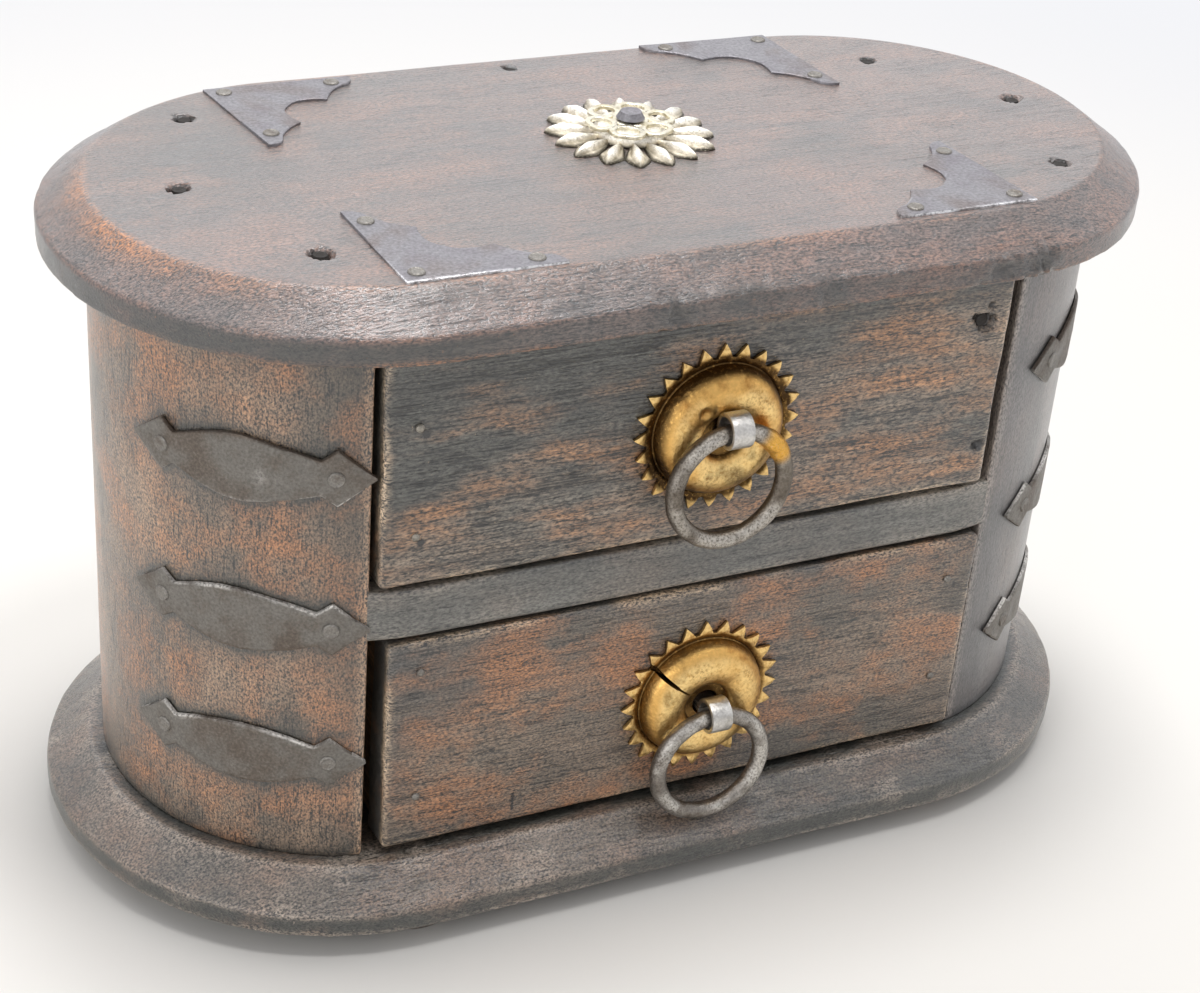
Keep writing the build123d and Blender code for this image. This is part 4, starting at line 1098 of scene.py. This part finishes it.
# The divider: grey with dirt.
wood_divider = waxed_wood("waxed_divider_wood", X, ("#72716b", "#5a5954", "#4c4b47", "#806b5a", "#a59a8c"),
                          (0.3, 0.2, 0.6, 0.2), 0.7, 17.0)
# Inside the drawers: bare, light and dull.
wood_inside = waxed_wood("bare_inside_wood", Y, ("#927a62", "#7a6550", "#6b5947", "#9c7650", "#b39a7c"),
                         (0.5, 0.4, 0.5, 0.0), 0.1, 21.0)
print("woods made:", sum(material.name.startswith(("waxed", "bare")) for material in bpy.data.materials))

# %% [markdown]
# Iron here is hammered sheet and wire with a brown-black skin; only rubbed edges and nail heads show grey metal.
# Brass is cast or pressed, polished on the high spots and dark with tarnish in the hollows. One graph serves
# both: patches of tarnish on a skin, a bright colour where rubbed and as painted highlight on lit edges, a settled
# colour where dirty and as painted shade. Metals have no waxed coat, so their roughness alone sets how sharply
# they mirror.

# %% Aged metal
def aged_metal(name, colours, metallic, shine, cell_mm, seed, speck=0.22):
    """Colours: skin, bright (also painted highlight), tarnish, settled (also painted shade). Shine: the least and
    the greatest roughness.
    """
    skin, bright, tarnish, settled_and_shade = [linear(code) for code in colours]
    material, tree, shader = blank(name)
    coords = add(tree, {}, "ShaderNodeTexCoord", "Object")
    wear, grime = [add(tree, {}, "ShaderNodeAttribute", "Fac", attribute_name=mark) for mark in ("wear", "grime")]
    fields = []
    for cell, detail, start in ((cell_mm * 4, 5, seed), (cell_mm * 0.5, 4, seed + 4)):
        scale = [1 / (MM * cell)] * 3
        place = add(tree, {"Vector": coords, "Scale": scale, "Location": (start, 0.7 * start, -start)},
                    "ShaderNodeMapping")
        fields.append(add(tree, {"Vector": place, "Scale": 1.0, "Detail": detail, "Roughness": 0.6},
                          "ShaderNodeTexNoise", "Fac"))
    patch, grit = fields
    colour = skin
    # On the straps' lit edges and the front plates' rims the bright colour is a painted highlight; along the
    # straps' other edges the settled colour is painted shade.
    for field, start, end, amount, tint in (
        (patch, 0.45, 0.72, 1.0, tarnish), (grit, 0.25, 0.55, wear, bright), (grit, 0.9, 0.5, grime, settled_and_shade),
    ):
        share = add(tree, {"Value": field, "From Min": start, "From Max": end}, **EASE)
        share = add(tree, {0: share, 1: amount}, **TIMES)
        colour = add(tree, {"Factor": share, "A": colour, "B": tint}, **MIX)
    swing = add(tree, {"Value": grit, "From Min": noise_low, "From Max": noise_high,
                       "To Min": 1 - speck, "To Max": 1 + speck}, "ShaderNodeMapRange")
    colour = add(tree, {0: colour, "Scale": swing}, "ShaderNodeVectorMath", operation="SCALE")
    dull = add(tree, {"Value": patch, "From Min": 0.3, "From Max": 0.7, "To Min": shine[0], "To Max": shine[1]},
               "ShaderNodeMapRange")
    depth = add(tree, {0: patch, 1: 4.0, 2: grit}, **TIMES_PLUS)
    bump = add(tree, {"Strength": 0.5, "Distance": 0.25 * MM, "Height": depth}, "ShaderNodeBump")
    fill(tree, shader, {"Base Color": colour, "Metallic": metallic, "Roughness": dull, "Normal": bump})
    return material


print("metal is ready to be made")

# %% [markdown]
# The ironwork differs by use: straps are dull and brown, plates are rubbed grey, the rings are handled wire, and
# the nails run from bright heads to black sunken ones. The staples are a brighter, newer strip.

# %% Metals of the chest
# Straps: dull brown-black sheet that lets the wood look warm.
iron_sheet = aged_metal("blackened_iron_sheet", ("#79756f", "#d3cfc9", "#716a62", "#665b51"),
                        0.5, (0.45, 0.62), 1.2, 2.0)
# Corner plates: smoother grey sheet with a soft shine and bright rims.
iron_plate = aged_metal("worn_iron_plate", ("#878589", "#ececee", "#7f7b80", "#786f6d"),
                        0.6, (0.38, 0.52), 1.6, 4.0)
# Upper ring: dark handled wire; its settled colour is the yellow braze.
dark_wire = aged_metal("forged_dark_iron_wire", ("#736b61", "#b5afa6", "#4e4338", "#e2ac4e"),
                       0.9, (0.34, 0.52), 1.0, 7.0)
# Lower ring: lighter wire, rubbed in front.
iron_wire = aged_metal("forged_iron_wire", ("#87817a", "#c2beb7", "#574b40", "#50463d"),
                       0.9, (0.34, 0.5), 1.0, 8.0)
# Nails below the surface: nearly black, so their pits look deep.
sunk_iron = aged_metal("sunk_iron_nail", ("#2c2825", "#4a4540", "#231d19", "#1d1815"),
                       0.5, (0.5, 0.7), 0.8, 31.0)
# Nail heads on straps and plates: grey and a little shiny.
nail_iron = aged_metal("iron_nail_head", ("#88847e", "#c5c1bb", "#6f675f", "#5a524b"),
                       0.7, (0.38, 0.55), 0.8, 11.0)
# Nail heads on the upper front: rubbed pale points of light.
pale_iron = aged_metal("rubbed_iron_nail", ("#a39d92", "#d5d0c5", "#6a6258", "#5a524b"),
                       0.6, (0.35, 0.55), 0.6, 13.0)
# Staples: bright strip, the lightest metal on the fronts.
bright_steel = aged_metal("bright_steel_strip", ("#cfccc7", "#e4e2de", "#a8a49d", "#8f8a83"),
                          1.0, (0.25, 0.4), 1.0, 15.0, 0.12)
# Escutcheons: golden pressed sheet with brown tarnish.
brass_pressed = aged_metal("aged_pressed_brass", ("#dfb066", "#f6d592", "#a2733a", "#47341f"),
                           1.0, (0.28, 0.42), 1.5, 19.0, 0.08)
# Petals: pale antique brass, dark between.
brass_cast = aged_metal("antique_cast_brass", ("#d6ccb8", "#fbf7ee", "#948a76", "#2c271f"),
                        0.85, (0.30, 0.5), 0.8, 23.0, 0.1)
# Flower: the most polished brass.
brass_polished = aged_metal("polished_brass", ("#e3dcc8", "#f8f3e4", "#c6bb9c", "#8a7442"),
                            1.0, (0.22, 0.34), 1.0, 27.0, 0.08)
print("metals made, from", iron_sheet.name, "to", brass_polished.name)

# %% [markdown]
# The last step of dressing gives each piece its finish: first those with a finish of their own, then the groups
# that share one by the ends of their names.

# %% Finishes on their pieces
finishes = {
    "worn_top_board": wood_top, "worn_base_board": wood_base, "worn_left_end_block": wood_block,
    "worn_right_end_block": wood_far_block, "worn_back_panel": wood_back, "worn_drawer_divider": wood_divider,
    "worn_upper_drawer_front": wood_drawer, "worn_lower_drawer_front": wood_low_drawer,
    "aged_upper_escutcheon": brass_pressed, "aged_lower_escutcheon": brass_pressed,
    "forged_upper_ring": dark_wire, "forged_lower_ring": iron_wire,
    "bent_upper_staple": bright_steel, "bent_lower_staple": bright_steel,
    "cast_rosette_petals": brass_cast, "polished_rosette_flower": brass_polished, "rosette_nail": iron_plate,
    "flat_strap_nails": nail_iron, "flat_plate_nails": nail_iron,
    "upper_front_nail_heads": pale_iron, "lower_front_nail_heads": nail_iron,
    "top_nails": sunk_iron, "upper_drawer_nails": sunk_iron, "lower_drawer_nails": sunk_iron,
}
groups = (("_strap", "beaten_", iron_sheet), ("_corner_plate", "beaten_", iron_plate), ("nails", "", nail_iron),
          ("_foot", "", wood_base), ("_side", "", wood_inside), ("_drawer_back", "", wood_inside),
          ("_drawer_bottom", "", wood_inside))
for name in nodes:
    for ending, prefix, material in groups:
        if name.endswith(ending):
            finishes.setdefault(prefix + name, material)
for name, material in finishes.items():
    slots = bpy.data.objects[name].data.materials
    slots.clear()
    slots.append(material)
print("finished", len(finishes), "pieces")

# %% [markdown]
# The stage is a pale floor that takes the chest's shadow and a soft, even room. Away from the chest the floor
# glows by itself up to white, but only for rays that come from the camera or a mirror-like surface, so it adds
# no light to the wood. The room is brighter for those rays too, and for the camera it meets the floor's white.

# %% Floor and room
floor_mesh = bpy.data.meshes.new("floor")
reach = 6.0
floor_mesh.from_pydata([(-reach, -reach, 0), (reach, -reach, 0), (reach, reach, 0), (-reach, reach, 0)], [],
                       [(0, 1, 2, 3)])
floor = bpy.data.objects.new("floor", floor_mesh)
bpy.context.scene.collection.objects.link(floor)
floor_material, floor_tree, floor_shader = blank("pale_floor")
floor_mesh.materials.append(floor_material)
world = bpy.data.worlds.new("soft_room")
world.use_nodes = True
bpy.context.scene.world = world
room_tree = world.node_tree

floor_seen = room_seen = 0.0
for ray in ("Is Camera Ray", "Is Glossy Ray", "Is Transmission Ray"):
    floor_seen = add(floor_tree, {0: add(floor_tree, {}, "ShaderNodeLightPath", ray), 1: floor_seen}, **LARGER)
    room_seen = add(room_tree, {0: add(room_tree, {}, "ShaderNodeLightPath", ray), 1: room_seen}, **LARGER)

# A matt, nearly white floor: the shadow stays soft and neutral.
fill(floor_tree, floor_shader, {"Base Color": linear("#e9e6e1"), "Roughness": 0.75})
place = add(floor_tree, {}, "ShaderNodeTexCoord", "Object")
away = add(floor_tree, {0: place}, "ShaderNodeVectorMath", "Value", operation="LENGTH")
far = add(floor_tree, {"Value": away, "From Min": 0.22, "From Max": 0.75}, **EASE)
far = add(floor_tree, {0: far, 1: floor_seen}, **TIMES)
glow = add(floor_tree, {"Color": linear("#f4f5f9"), "Strength": 1.0}, "ShaderNodeEmission")
mixed = add(floor_tree, {0: far, 1: floor_shader.outputs[0], 2: glow}, "ShaderNodeMixShader")
fill(floor_tree, floor_tree.nodes["Material Output"], {"Surface": mixed})

strength = add(room_tree, {"Value": room_seen, "To Min": 0.44, "To Max": 0.85}, "ShaderNodeMapRange")
straight = add(room_tree, {}, "ShaderNodeLightPath", "Is Camera Ray")
strength = add(room_tree, {0: straight, 1: 0.15, 2: strength}, **TIMES_PLUS)
fill(room_tree, room_tree.nodes["Background"], {"Color": linear("#f5f6fa"), "Strength": strength})
print("floor", 2 * reach, "m wide")

# %% [markdown]
# Soft boxes stand round the chest. The overhead and the back wall are mirrored in the waxed top, the left one
# models the round end, and the weaker right one keeps the far side from going black.

# %% Lamps
lamps = (
    ("overhead_softbox", (0.05, 0.13, 1.25), 0.36, 7.2),
    ("window_softbox", (0.12, -0.26, 1.2), 0.2, 3.0),
    ("back_wall_softbox", (0.7, 2.0, 1.3), 2.5, 12.0),
    ("ceiling_softbox", (-0.55, 0.88, 1.15), 1.1, 4.5),
    ("left_softbox", (-1.3, -0.7, 0.7), 0.9, 6.0),
    ("right_softbox", (1.3, -0.2, 0.8), 0.9, 2.4),
)
aim = Vector((0, 0, 0.08))
for name, place, size, power in lamps:
    lamp = bpy.data.lights.new(name, "AREA")
    lamp.size, lamp.energy = size, power
    holder = bpy.data.objects.new(name, lamp)
    holder.location = place
    holder.rotation_euler = (aim - Vector(place)).to_track_quat("-Z", "Y").to_euler()
    bpy.context.scene.collection.objects.link(holder)
print(len(lamps), "lamps,", sum(power for *_, power in lamps), "W")

# %% [markdown]
# The camera looks down on the chest from the front left, a little tilted. Its direction is given by three angles:
# round the upright axis, up from the floor, and a roll about the line of sight.

# %% Camera
azimuth, elevation, roll = np.radians((27.545, 30.438, 4.951))
back = np.array([-math.sin(azimuth) * math.cos(elevation), -math.cos(azimuth) * math.cos(elevation),
                 math.sin(elevation)])
level_right = np.array([math.cos(azimuth), -math.sin(azimuth), 0.0])
level_up = np.cross(back, level_right)
turn = np.eye(4)
turn[:3, 0] = level_right * math.cos(roll) + level_up * math.sin(roll)
turn[:3, 1] = level_up * math.cos(roll) - level_right * math.sin(roll)
turn[:3, 2] = back
turn[:3, 3] = np.array([-224.0, -435.2, 353.47]) * MM
camera_data = bpy.data.cameras.new("photo_camera")
camera_data.sensor_width, camera_data.sensor_fit, camera_data.lens = 36.0, "HORIZONTAL", 71.66
camera = bpy.data.objects.new("photo_camera", camera_data)
camera.matrix_world = Matrix(turn.tolist())
bpy.context.scene.collection.objects.link(camera)
bpy.context.scene.camera = camera
bpy.context.scene.view_settings.view_transform = "Standard"
print("camera", np.round(turn[:3, 3], 3), "m")
